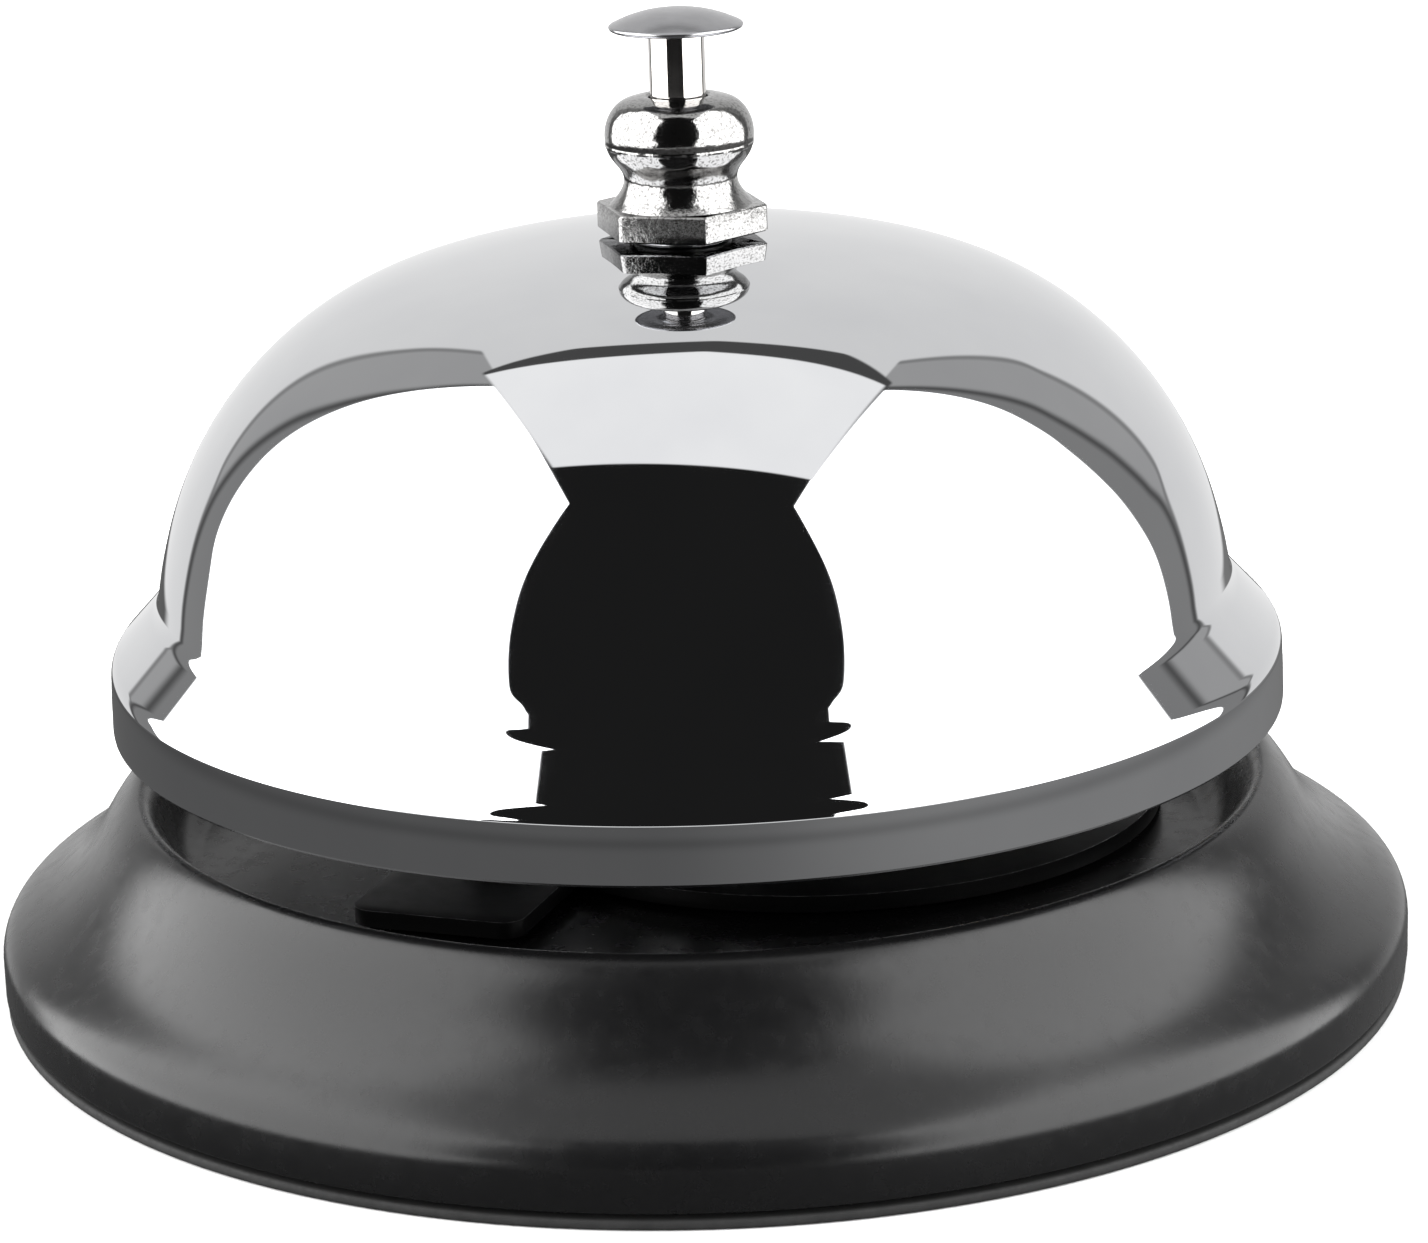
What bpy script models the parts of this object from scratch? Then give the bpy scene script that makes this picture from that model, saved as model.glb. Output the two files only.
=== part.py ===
"""Desk service bell: a chromed gong on a black stamped base, rung by a plunger.

Units are metres, +Z is up and the bell's axis is the Z axis. The front of the bell faces -Y.
Every physical piece is one named object with one material. The pressed plunger moves down the
bell's axis and tips the hammer lever about the pivot pin behind the post.
"""

import math

import bpy
import numpy as np

MM = 0.001

# Overall shape
BASE_RADIUS = 42.5 * MM
SHEET = 1.0 * MM
RECESS_FLOOR_TOP = 8.0 * MM
RING_STEPS = 40
SMALL_STEPS = 28
PIN_STEPS = 20
RIVET_STEPS = 12

# Gaps
FIT_GAP = 0.3 * MM
RUNNING_GAP = 0.1 * MM

# Foot ring
FOOT_INNER_RADIUS = 38.5 * MM
FOOT_WALL_RADIUS = 41.0 * MM
FOOT_LIP_RADIUS = 42.4 * MM
FOOT_LIP_HEIGHT = 0.6 * MM
FOOT_HEIGHT = 3.2 * MM

# Bell
GONG_WALL = 0.9 * MM
GONG_HOLE_RADIUS = 3.2 * MM

# Post
POST_BOTTOM = 3.8 * MM
POST_TOP = 46.7 * MM
POST_SHOULDER = 41.9 * MM
POST_BODY_BOTTOM = 9.6 * MM
POST_BODY_RADIUS = 4.0 * MM
POST_THREAD_RADIUS = 2.9 * MM
POST_CHAMBER_RADIUS = 2.2 * MM
POST_GUIDE_RADIUS = 1.2 * MM
POST_GUIDE_BOTTOM = 20.0 * MM
POST_GUIDE_TOP = 24.0 * MM
POST_WINDOW_BOTTOM = 10.3 * MM
POST_WINDOW_TOP = 17.0 * MM
POST_WINDOW_WIDTH = 2.8 * MM

# Plunger
ROD_RADIUS = 1.65 * MM
ROD_TOP = 57.2 * MM
ROD_SHOULDER = 36.0 * MM
ROD_THIN_RADIUS = 1.1 * MM
ROD_TIP = 16.0 * MM
ROD_GROOVE_RADIUS = 0.8 * MM
CLIP_BOTTOM = 19.0 * MM
CLIP_TOP = 19.6 * MM
CLIP_RADIUS = 1.9 * MM

# Finial nut
NUT_BOTTOM = 45.0 * MM
HEX_TOP = 46.6 * MM
HEX_CORNER_RADIUS = 5.09 * MM
HEX_TURN = math.radians(45.4)
NUT_THREAD_RADIUS = 3.1 * MM
NUT_THREAD_TOP = 47.0 * MM
NUT_TOP = 52.95 * MM

# Return spring
SPRING_RADIUS = 1.65 * MM
SPRING_WIRE_RADIUS = 0.24 * MM
SPRING_BOTTOM = 24.3 * MM
SPRING_TOP = 35.7 * MM
SPRING_TURNS = 8
SPRING_POINTS_PER_TURN = 12

# Striker plate
PLATE_TOP = 9.3 * MM
PLATE_CENTRE = (7.2 * MM, 4.2 * MM)
PLATE_RADIUS = 21.0 * MM
TAB_EDGE_CENTRE = (-15.6 * MM, -18.1 * MM)
TAB_HALF_WIDTH = 5.25 * MM
TAB_TURN = math.radians(20.0)
TAB_CORNER_RADIUS = 1.3 * MM
PLATE_HOLE_RADIUS = 3.2 * MM
RIVET_RADIUS = 1.3 * MM
RIVET_HEAD_RADIUS = 2.5 * MM
RIVET_HEAD_HEIGHT = 0.8 * MM
RIVET_PLACES = {
    "plate_rivet_tab": (-12.0 * MM, -8.2 * MM),
    "plate_rivet_side": (19.6 * MM, 5.0 * MM),
    "plate_rivet_rear": (-6.0 * MM, 16.5 * MM),
}

# Hammer
LEVER_TURN = math.radians(60.0)
PIVOT_REACH = 9.0 * MM
PIVOT_HEIGHT = 13.0 * MM
PIN_RADIUS = 0.8 * MM
PIN_HEAD_RADIUS = 1.5 * MM
PIN_GROOVE_RADIUS = 0.5 * MM
EAR_INNER = 2.8 * MM
EAR_THICKNESS = 1.0 * MM
EAR_HALF_LENGTH = 2.3 * MM
EAR_ARCH_RADIUS = 2.3 * MM
LEVER_THICKNESS = 1.2 * MM
FINGER_HALF_WIDTH = 1.0 * MM
ARM_HALF_WIDTH = 1.7 * MM
HUB_RADIUS = 1.8 * MM
HUB_HALF_LENGTH = 2.4 * MM
HEAD_REACH = 21.3 * MM
HEAD_RADIUS = 2.3 * MM
HEAD_BOTTOM = 1.7 * MM
HEAD_HEIGHT = 3.1 * MM


def clear_scene():
    """Remove everything a new file starts with."""
    for item in list(bpy.data.objects):
        bpy.data.objects.remove(item, do_unlink=True)


def new_collection(name):
    """Make a collection under the scene's own."""
    collection = bpy.data.collections.new(name)
    bpy.context.scene.collection.children.link(collection)
    return collection


def new_material(name, colour, roughness, metallic):
    """Make a Principled material."""
    material = bpy.data.materials.new(name)
    material.use_nodes = True
    shader = material.node_tree.nodes["Principled BSDF"]
    shader.inputs["Base Color"].default_value = (*colour, 1.0)
    shader.inputs["Roughness"].default_value = roughness
    shader.inputs["Metallic"].default_value = metallic
    return material


def mesh_object(name, verts, edges, faces, collection):
    """Make an object from plain vertex, edge and face lists."""
    mesh = bpy.data.meshes.new(name)
    mesh.from_pydata(verts, edges, faces)
    mesh.update()
    made = bpy.data.objects.new(name, mesh)
    collection.objects.link(made)
    return made


def turned(name, profile, collection, steps=SMALL_STEPS, closed=False):
    """Turn a profile of (radius, height) points about Z. A closed profile makes a ring."""
    verts = [(radius, 0.0, height) for radius, height in profile]
    edges = [(i, i + 1) for i in range(len(verts) - 1)]
    if closed:
        edges.append((len(verts) - 1, 0))
    made = mesh_object(name, verts, edges, [], collection)
    screw = made.modifiers.new("Turn", "SCREW")
    screw.axis = "Z"
    screw.angle = 2.0 * math.pi
    screw.screw_offset = 0.0
    screw.steps = steps
    screw.render_steps = steps
    screw.use_merge_vertices = True
    screw.merge_threshold = 0.000001
    screw.use_smooth_shade = True
    return made


def prism(name, outline, low, high, collection):
    """Stand a flat outline of (x, y) points up between two heights."""
    count = len(outline)
    verts = [(x, y, low) for x, y in outline] + [(x, y, high) for x, y in outline]
    faces = [tuple(reversed(range(count))), tuple(range(count, 2 * count))]
    for i in range(count):
        following = (i + 1) % count
        faces.append((i, following, count + following, count + i))
    return mesh_object(name, verts, [], faces, collection)


def upright_prism(name, outline, half_width, collection):
    """Make a slab from an outline of (x, z) points, spread evenly to both sides of y = 0."""
    count = len(outline)
    verts = [(x, -half_width, z) for x, z in outline] + [(x, half_width, z) for x, z in outline]
    faces = [tuple(range(count)), tuple(reversed(range(count, 2 * count)))]
    for i in range(count):
        following = (i + 1) % count
        faces.append((following, i, count + i, count + following))
    return mesh_object(name, verts, [], faces, collection)


def combine(target, other, operation):
    """Add an exact Boolean modifier."""
    modifier = target.modifiers.new(operation.title(), "BOOLEAN")
    modifier.operation = operation
    modifier.solver = "EXACT"
    modifier.object = other
    return modifier


def as_cutter(item):
    """Show a cutter as wire only and keep it out of the render."""
    item.hide_render = True
    item.display_type = "WIRE"
    return item


def finish(item, material):
    """Give a piece its one material and smooth shading with sharp corners."""
    item.data.materials.clear()
    item.data.materials.append(material)
    item.data.shade_smooth()
    item.data.set_sharp_from_angle(angle=math.radians(35.0))
    return item


def arc(centre, radius, start, end, count):
    """List points of an arc, both ends included."""
    points = []
    for i in range(count + 1):
        angle = start + (end - start) * i / count
        points.append((centre[0] + radius * math.cos(angle), centre[1] + radius * math.sin(angle)))
    return points


def offset_profile(profile, distance):
    """Shift an open profile to its right-hand side by a constant distance."""
    shifted = []
    for i, point in enumerate(profile):
        before = profile[max(i - 1, 0)]
        after = profile[min(i + 1, len(profile) - 1)]
        along = (after[0] - before[0], after[1] - before[1])
        length = math.hypot(*along)
        shifted.append(
            (point[0] + distance * along[1] / length, point[1] - distance * along[0] / length)
        )
    return shifted


def make_base_shell(parts, cutters):
    """Stamped base: a skirt, a hollow cove up to a soft crest, and a sunk floor."""
    skirt_bottom = FOOT_LIP_HEIGHT + FIT_GAP
    outside = [
        (PLATE_HOLE_RADIUS, RECESS_FLOOR_TOP),
        (30.2 * MM, RECESS_FLOOR_TOP),
        (31.3 * MM, 8.5 * MM),
        (32.3 * MM, 10.4 * MM),
        (33.0 * MM, 11.8 * MM),
        (33.6 * MM, 12.35 * MM),
        (34.2 * MM, 12.4 * MM),
        (34.75 * MM, 11.9 * MM),
        (35.5 * MM, 10.8 * MM),
        (36.6 * MM, 9.3 * MM),
        (38.0 * MM, 7.7 * MM),
        (39.6 * MM, 6.25 * MM),
        (41.1 * MM, 5.25 * MM),
        (42.1 * MM, 4.35 * MM),
        (BASE_RADIUS, 3.2 * MM),
        (BASE_RADIUS, skirt_bottom),
    ]
    inside = [
        (BASE_RADIUS - SHEET, skirt_bottom),
        (BASE_RADIUS - SHEET, 3.1 * MM),
        (41.2 * MM, 3.9 * MM),
        (40.4 * MM, 4.5 * MM),
        (39.0 * MM, 5.4 * MM),
        (37.3 * MM, 7.0 * MM),
        (35.8 * MM, 8.65 * MM),
        (34.6 * MM, 10.3 * MM),
        (33.9 * MM, 11.2 * MM),
        (33.4 * MM, 10.3 * MM),
        (32.2 * MM, 7.9 * MM),
        (31.2 * MM, 7.15 * MM),
        (30.3 * MM, RECESS_FLOOR_TOP - SHEET),
        (PLATE_HOLE_RADIUS, RECESS_FLOOR_TOP - SHEET),
    ]
    shell = turned("base_shell", outside + inside, parts, RING_STEPS, closed=True)
    for name, place in RIVET_PLACES.items():
        combine(shell, rivet_drill(name, place, cutters), "DIFFERENCE")
    return finish(shell, new_material("base_black", (0.012, 0.012, 0.013), 0.42, 0.0))


def rivet_drill(name, place, cutters):
    """Cutter for one rivet hole."""
    half = 4.0 * MM
    radius = RIVET_RADIUS + 0.25 * MM
    profile = [(0.0, half), (radius, half), (radius, -half), (0.0, -half)]
    drill = turned(name + "_drill_" + str(len(cutters.objects)), profile, cutters, RIVET_STEPS)
    drill.location = (*place, RECESS_FLOOR_TOP)
    return as_cutter(drill)


def make_foot_ring(parts):
    """Black rubber ring pressed into the skirt; the bell rests on its flat underside."""
    profile = [
        (FOOT_WALL_RADIUS - 0.3 * MM, FOOT_HEIGHT),
        (FOOT_WALL_RADIUS, FOOT_HEIGHT - 0.3 * MM),
        (FOOT_WALL_RADIUS, FOOT_LIP_HEIGHT),
        (FOOT_LIP_RADIUS, FOOT_LIP_HEIGHT),
        (FOOT_LIP_RADIUS, 0.0),
        (FOOT_INNER_RADIUS, 0.0),
        (FOOT_INNER_RADIUS, FOOT_HEIGHT),
    ]
    ring = turned("foot_ring", profile, parts, RING_STEPS, closed=True)
    return finish(ring, new_material("foot_rubber", (0.01, 0.01, 0.01), 0.75, 0.0))


def plate_outline():
    """Outline of the striker plate: a large round end with a square-cornered tab."""
    along = (math.sin(TAB_TURN), math.cos(TAB_TURN))
    across = (math.cos(TAB_TURN), -math.sin(TAB_TURN))

    def tab_point(side, inward):
        return (
            TAB_EDGE_CENTRE[0] + across[0] * side + along[0] * inward,
            TAB_EDGE_CENTRE[1] + across[1] * side + along[1] * inward,
        )

    def meet_circle(side):
        x, y = tab_point(side, 0.0)
        dx = x - PLATE_CENTRE[0]
        dy = y - PLATE_CENTRE[1]
        half = dx * along[0] + dy * along[1]
        rest = dx * dx + dy * dy - PLATE_RADIUS * PLATE_RADIUS
        return tab_point(side, -half - math.sqrt(half * half - rest))

    left = meet_circle(-TAB_HALF_WIDTH)
    right = meet_circle(TAB_HALF_WIDTH)
    start = math.atan2(right[1] - PLATE_CENTRE[1], right[0] - PLATE_CENTRE[0])
    end = math.atan2(left[1] - PLATE_CENTRE[1], left[0] - PLATE_CENTRE[0])
    if end < start:
        end += 2.0 * math.pi
    outline = arc(PLATE_CENTRE, PLATE_RADIUS, start, end, 40)
    inset = TAB_HALF_WIDTH - TAB_CORNER_RADIUS
    turn = -TAB_TURN
    left_corner = tab_point(-inset, TAB_CORNER_RADIUS)
    right_corner = tab_point(inset, TAB_CORNER_RADIUS)
    outline += arc(left_corner, TAB_CORNER_RADIUS, turn + math.pi, turn + 1.5 * math.pi, 4)
    outline += arc(right_corner, TAB_CORNER_RADIUS, turn + 1.5 * math.pi, turn + 2.0 * math.pi, 4)
    return outline


def ear_outline():
    """Side outline of a pivot ear, in lever axes measured from the pivot pin."""
    foot = PLATE_TOP - 0.5 * MM - PIVOT_HEIGHT
    outline = [(-EAR_HALF_LENGTH, foot), (EAR_HALF_LENGTH, foot)]
    return outline + arc((0.0, 0.0), EAR_ARCH_RADIUS, 0.0, math.pi, 10)


def make_striker_plate(parts, cutters, pivot):
    """Flat stamped plate on the base floor with two ears turned up for the pivot pin."""
    low = RECESS_FLOOR_TOP + FIT_GAP
    plate = prism("striker_plate", plate_outline(), low, PLATE_TOP, parts)
    for side in (-1.0, 1.0):
        ear = upright_prism("ear_form", ear_outline(), 0.5 * EAR_THICKNESS, cutters)
        ear.parent = pivot
        ear.location = (0.0, side * (EAR_INNER + 0.5 * EAR_THICKNESS), 0.0)
        combine(plate, as_cutter(ear), "UNION")
    half = 6.0 * MM
    radius = PIN_RADIUS + 0.2 * MM
    profile = [(0.0, half), (radius, half), (radius, -half), (0.0, -half)]
    pin_drill = turned("pin_drill", profile, cutters, PIN_STEPS)
    pin_drill.parent = pivot
    pin_drill.rotation_euler = (math.radians(90.0), 0.0, 0.0)
    combine(plate, as_cutter(pin_drill), "DIFFERENCE")
    profile = [(0.0, half), (PLATE_HOLE_RADIUS, half), (PLATE_HOLE_RADIUS, -half), (0.0, -half)]
    hole = turned("post_drill", profile, cutters, PIN_STEPS)
    hole.location = (0.0, 0.0, PLATE_TOP)
    combine(plate, as_cutter(hole), "DIFFERENCE")
    for name, place in RIVET_PLACES.items():
        combine(plate, rivet_drill(name, place, cutters), "DIFFERENCE")
    return finish(plate, new_material("plate_black", (0.014, 0.014, 0.015), 0.3, 0.0))


def make_rivets(parts):
    """Three domed rivets that hold the striker plate to the base floor."""
    made = []
    top = PLATE_TOP + FIT_GAP
    bottom = RECESS_FLOOR_TOP - SHEET - FIT_GAP
    for name, place in RIVET_PLACES.items():
        profile = [
            (0.0, top + RIVET_HEAD_HEIGHT),
            (0.6 * RIVET_HEAD_RADIUS, top + 0.8 * RIVET_HEAD_HEIGHT),
            (0.9 * RIVET_HEAD_RADIUS, top + 0.4 * RIVET_HEAD_HEIGHT),
            (RIVET_HEAD_RADIUS, top),
            (RIVET_RADIUS, top),
            (RIVET_RADIUS, bottom),
            (0.85 * RIVET_HEAD_RADIUS, bottom),
            (0.75 * RIVET_HEAD_RADIUS, bottom - 0.6 * MM),
            (0.0, bottom - 0.6 * MM),
        ]
        rivet = turned(name, profile, parts, RIVET_STEPS)
        rivet.location = (*place, 0.0)
        made.append(finish(rivet, new_material(name + "_steel", (0.03, 0.03, 0.032), 0.4, 0.6)))
    return made


def make_post(parts, cutters):
    """Turned hollow post: threads at both ends, a spring chamber and a lever window."""
    profile = [
        (POST_THREAD_RADIUS - 0.3 * MM, POST_TOP),
        (POST_THREAD_RADIUS, POST_TOP - 0.3 * MM),
        (POST_THREAD_RADIUS, POST_SHOULDER),
        (POST_BODY_RADIUS, POST_SHOULDER),
        (POST_BODY_RADIUS, POST_BODY_BOTTOM),
        (POST_THREAD_RADIUS, POST_BODY_BOTTOM),
        (POST_THREAD_RADIUS, POST_BOTTOM),
        (POST_GUIDE_RADIUS, POST_BOTTOM),
        (POST_GUIDE_RADIUS, POST_WINDOW_BOTTOM),
        (POST_CHAMBER_RADIUS, POST_WINDOW_BOTTOM),
        (POST_CHAMBER_RADIUS, POST_GUIDE_BOTTOM),
        (POST_GUIDE_RADIUS, POST_GUIDE_BOTTOM),
        (POST_GUIDE_RADIUS, POST_GUIDE_TOP),
        (POST_CHAMBER_RADIUS, POST_GUIDE_TOP),
        (POST_CHAMBER_RADIUS, POST_TOP),
    ]
    post = turned("post", profile, parts, PIN_STEPS, closed=True)
    half = 0.5 * POST_WINDOW_WIDTH
    outline = [(0.0, -half), (6.0 * MM, -half), (6.0 * MM, half), (0.0, half)]
    window = prism("window_form", outline, POST_WINDOW_BOTTOM + 0.1 * MM, POST_WINDOW_TOP, cutters)
    window.rotation_euler = (0.0, 0.0, LEVER_TURN)
    combine(post, as_cutter(window), "DIFFERENCE")
    return finish(post, new_material("post_steel", (0.55, 0.55, 0.56), 0.28, 1.0))


def make_washer(name, inner, outer, low, high, material, parts):
    """Flat ring."""
    profile = [(outer, high), (outer, low), (inner, low), (inner, high)]
    return finish(turned(name, profile, parts, PIN_STEPS, closed=True), material)


def make_post_lock_nut(parts, cutters):
    """Hexagon nut under the base floor."""
    outline = arc((0.0, 0.0), 5.1 * MM, 0.0, 2.0 * math.pi, 6)[:-1]
    nut = prism("post_lock_nut", outline, 3.4 * MM, 5.6 * MM, parts)
    half = 6.0 * MM
    profile = [(0.0, half), (NUT_THREAD_RADIUS, half), (NUT_THREAD_RADIUS, -half), (0.0, -half)]
    drill = turned("lock_nut_drill", profile, cutters, PIN_STEPS)
    drill.location = (0.0, 0.0, 4.5 * MM)
    combine(nut, as_cutter(drill), "DIFFERENCE")
    return finish(nut, new_material("lock_nut_zinc", (0.5, 0.49, 0.46), 0.4, 1.0))


def fair_curve(marks, turn=math.radians(6.0), reach=3.5 * MM):
    """Smooth outline through the marks, with a point after every small turn or short run."""
    knots = np.array(marks)
    gaps = np.hypot(*np.diff(knots, axis=0).T)
    along = np.concatenate([[0.0], np.cumsum(gaps)])
    count = len(knots)
    system, right = np.zeros((count, count)), np.zeros((count, 2))
    system[0, 0] = system[-1, -1] = 1.0
    for i in range(1, count - 1):
        before, after = gaps[i - 1], gaps[i]
        system[i, i - 1:i + 2] = before, 2.0 * (before + after), after
        right[i] = 6.0 * ((knots[i + 1] - knots[i]) / after - (knots[i] - knots[i - 1]) / before)
    bend = np.linalg.solve(system, right)

    def point(where):
        i = min(int(np.searchsorted(along, where, side="right")) - 1, count - 2)
        gap, ahead, back = gaps[i], along[i + 1] - where, where - along[i]
        return (
            (bend[i] * ahead ** 3 + bend[i + 1] * back ** 3) / (6.0 * gap)
            + (knots[i] / gap - bend[i] * gap / 6.0) * ahead
            + (knots[i + 1] / gap - bend[i + 1] * gap / 6.0) * back
        )

    fine = [point(where) for where in np.linspace(0.0, along[-1], round(along[-1] / (0.1 * MM)))]
    outline, heading, run = [fine[0]], None, 0.0
    for last, here in zip(fine, fine[1:]):
        step = here - last
        facing = math.atan2(step[1], step[0])
        heading = facing if heading is None else heading
        run += float(np.hypot(*step))
        if abs(facing - heading) > turn or run > reach:
            outline.append(here)
            heading, run = facing, 0.0
    if np.hypot(*(fine[-1] - outline[-1])) < 0.2 * reach:
        outline.pop()
    outline.append(fine[-1])
    return [(float(radius), float(height)) for radius, height in outline]


def gong_outside():
    """Outer profile of the bell from its hole down to the lower edge of the rim."""
    marks = [
        (3.2, 44.7), (9.0, 44.3), (14.5, 43.35), (19.5, 41.7), (23.6, 39.2), (26.9, 36.0),
        (29.3, 32.45), (30.8, 28.95), (31.42, 26.7), (31.74, 24.9), (32.0, 24.0), (32.45, 23.3),
        (33.05, 22.65), (33.7, 21.98), (34.3, 21.3), (34.76, 20.7), (34.98, 20.1), (35.07, 19.2),
        (35.1, 18.0), (35.1, 16.9),
    ]
    return fair_curve([(radius * MM, height * MM) for radius, height in marks])


def make_bell_dome(parts):
    """Chromed gong: round dome, a waist, and a rolled vertical rim band."""
    outside = gong_outside()
    inside = offset_profile(outside, GONG_WALL)
    inside[0] = (GONG_HOLE_RADIUS, outside[0][1] - GONG_WALL)
    inside[-1] = (outside[-1][0] - GONG_WALL, outside[-1][1])
    edge = [(34.95 * MM, 16.5 * MM), (34.35 * MM, 16.5 * MM)]
    profile = outside + edge + list(reversed(inside))
    gong = turned("bell_dome", profile, parts, RING_STEPS, closed=True)
    return finish(gong, new_material("bell_chrome", (0.8, 0.8, 0.82), 0.05, 1.0))


def make_finial_nut(parts, cutters):
    """Hexagon nut with a flattened ball on top, threaded on to the post."""
    body = [
        (0.0, NUT_TOP),
        (2.5 * MM, NUT_TOP),
        (3.4 * MM, 52.6 * MM),
        (4.0 * MM, 52.0 * MM),
        (4.3 * MM, 51.3 * MM),
        (4.38 * MM, 50.6 * MM),
        (4.3 * MM, 50.0 * MM),
        (4.05 * MM, 49.4 * MM),
        (3.6 * MM, 48.8 * MM),
        (3.35 * MM, 48.3 * MM),
        (3.35 * MM, 47.9 * MM),
        (3.55 * MM, 47.4 * MM),
        (3.9 * MM, 46.95 * MM),
        (4.3 * MM, HEX_TOP),
        (4.2 * MM, 45.6 * MM),
        (0.0, 45.6 * MM),
    ]
    nut = turned("finial_nut", body, parts, SMALL_STEPS)
    outline = arc((0.0, 0.0), HEX_CORNER_RADIUS, HEX_TURN, HEX_TURN + 2.0 * math.pi, 6)[:-1]
    hexagon = prism("hexagon_form", outline, NUT_BOTTOM, HEX_TOP, cutters)
    bevel = hexagon.modifiers.new("Soften", "BEVEL")
    bevel.width = 0.18 * MM
    bevel.segments = 2
    combine(nut, as_cutter(hexagon), "UNION")
    running = ROD_RADIUS + RUNNING_GAP
    bore = [
        (0.0, NUT_TOP + 1.0 * MM),
        (running, NUT_TOP + 1.0 * MM),
        (running, NUT_THREAD_TOP),
        (NUT_THREAD_RADIUS, NUT_THREAD_TOP),
        (NUT_THREAD_RADIUS, NUT_BOTTOM - 1.0 * MM),
        (0.0, NUT_BOTTOM - 1.0 * MM),
    ]
    combine(nut, as_cutter(turned("nut_drill", bore, cutters, PIN_STEPS)), "DIFFERENCE")
    return finish(nut, new_material("nut_plating", (0.72, 0.72, 0.72), 0.16, 1.0))


def make_plunger(parts, axis):
    """Press cap, stepped rod and the clip that keeps the rod from rising out."""
    cap_profile = [
        (0.0, 58.0 * MM),
        (1.2 * MM, 57.94 * MM),
        (2.3 * MM, 57.72 * MM),
        (3.2 * MM, 57.42 * MM),
        (3.8 * MM, 57.14 * MM),
        (3.93 * MM, 57.0 * MM),
        (3.86 * MM, 56.86 * MM),
        (3.55 * MM, 56.8 * MM),
        (1.85 * MM, 56.8 * MM),
        (1.85 * MM, 57.5 * MM),
        (0.0, 57.5 * MM),
    ]
    cap = turned("plunger_cap", cap_profile, parts, SMALL_STEPS)
    finish(cap, new_material("cap_chrome", (0.62, 0.62, 0.63), 0.22, 1.0))
    rod_profile = [
        (0.0, ROD_TOP),
        (ROD_RADIUS, ROD_TOP),
        (ROD_RADIUS, ROD_SHOULDER),
        (ROD_THIN_RADIUS, ROD_SHOULDER),
        (ROD_THIN_RADIUS, CLIP_TOP + 0.1 * MM),
        (ROD_GROOVE_RADIUS, CLIP_TOP + 0.1 * MM),
        (ROD_GROOVE_RADIUS, CLIP_BOTTOM - 0.1 * MM),
        (ROD_THIN_RADIUS, CLIP_BOTTOM - 0.1 * MM),
        (ROD_THIN_RADIUS, ROD_TIP + 0.5 * MM),
        (0.6 * MM, ROD_TIP),
        (0.0, ROD_TIP),
    ]
    rod = turned("plunger_rod", rod_profile, parts, PIN_STEPS)
    finish(rod, new_material("rod_steel", (0.78, 0.77, 0.76), 0.1, 1.0))
    clip = open_clip("rod_clip", 0.9 * MM, CLIP_RADIUS, CLIP_BOTTOM, CLIP_TOP, parts)
    finish(clip, new_material("clip_steel", (0.35, 0.35, 0.36), 0.4, 1.0))
    for piece in (cap, rod, clip):
        piece.parent = axis
    return cap, rod, clip


def open_clip(name, inner, outer, low, high, collection):
    """Flat retaining ring with an open mouth."""
    mouth = math.radians(35.0)
    outline = arc((0.0, 0.0), outer, mouth, 2.0 * math.pi - mouth, 18)
    outline += arc((0.0, 0.0), inner, 2.0 * math.pi - mouth, mouth, 18)
    return prism(name, outline, low, high, collection)


def make_return_spring(parts):
    """Coil spring round the thin part of the rod."""
    curve = bpy.data.curves.new("return_spring", "CURVE")
    curve.dimensions = "3D"
    curve.bevel_depth = SPRING_WIRE_RADIUS
    curve.bevel_resolution = 2
    curve.use_fill_caps = True
    spline = curve.splines.new("POLY")
    count = SPRING_TURNS * SPRING_POINTS_PER_TURN
    spline.points.add(count)
    low = SPRING_BOTTOM + SPRING_WIRE_RADIUS
    high = SPRING_TOP - SPRING_WIRE_RADIUS
    for i in range(count + 1):
        angle = 2.0 * math.pi * i / SPRING_POINTS_PER_TURN
        x = SPRING_RADIUS * math.cos(angle)
        y = SPRING_RADIUS * math.sin(angle)
        z = low + (high - low) * i / count
        spline.points[i].co = (x, y, z, 1.0)
    spring = bpy.data.objects.new("return_spring", curve)
    parts.objects.link(spring)
    curve.materials.append(new_material("spring_steel", (0.42, 0.42, 0.43), 0.3, 1.0))
    return spring


def lever_side(reach_in, reach_out, thickness):
    """Side outline of the bent lever in lever axes measured from the pivot pin."""
    half = 0.5 * thickness
    centre_line = [
        (reach_in, 2.05 * MM),
        (-7.6 * MM, 2.0 * MM),
        (0.0, 0.0),
        (13.0 * MM, 0.3 * MM),
        (17.5 * MM, 0.8 * MM),
        (reach_out, 0.8 * MM),
    ]
    upper = [(x, z + half) for x, z in centre_line]
    lower = [(x, z - half) for x, z in centre_line]
    return lower + list(reversed(upper))


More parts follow.
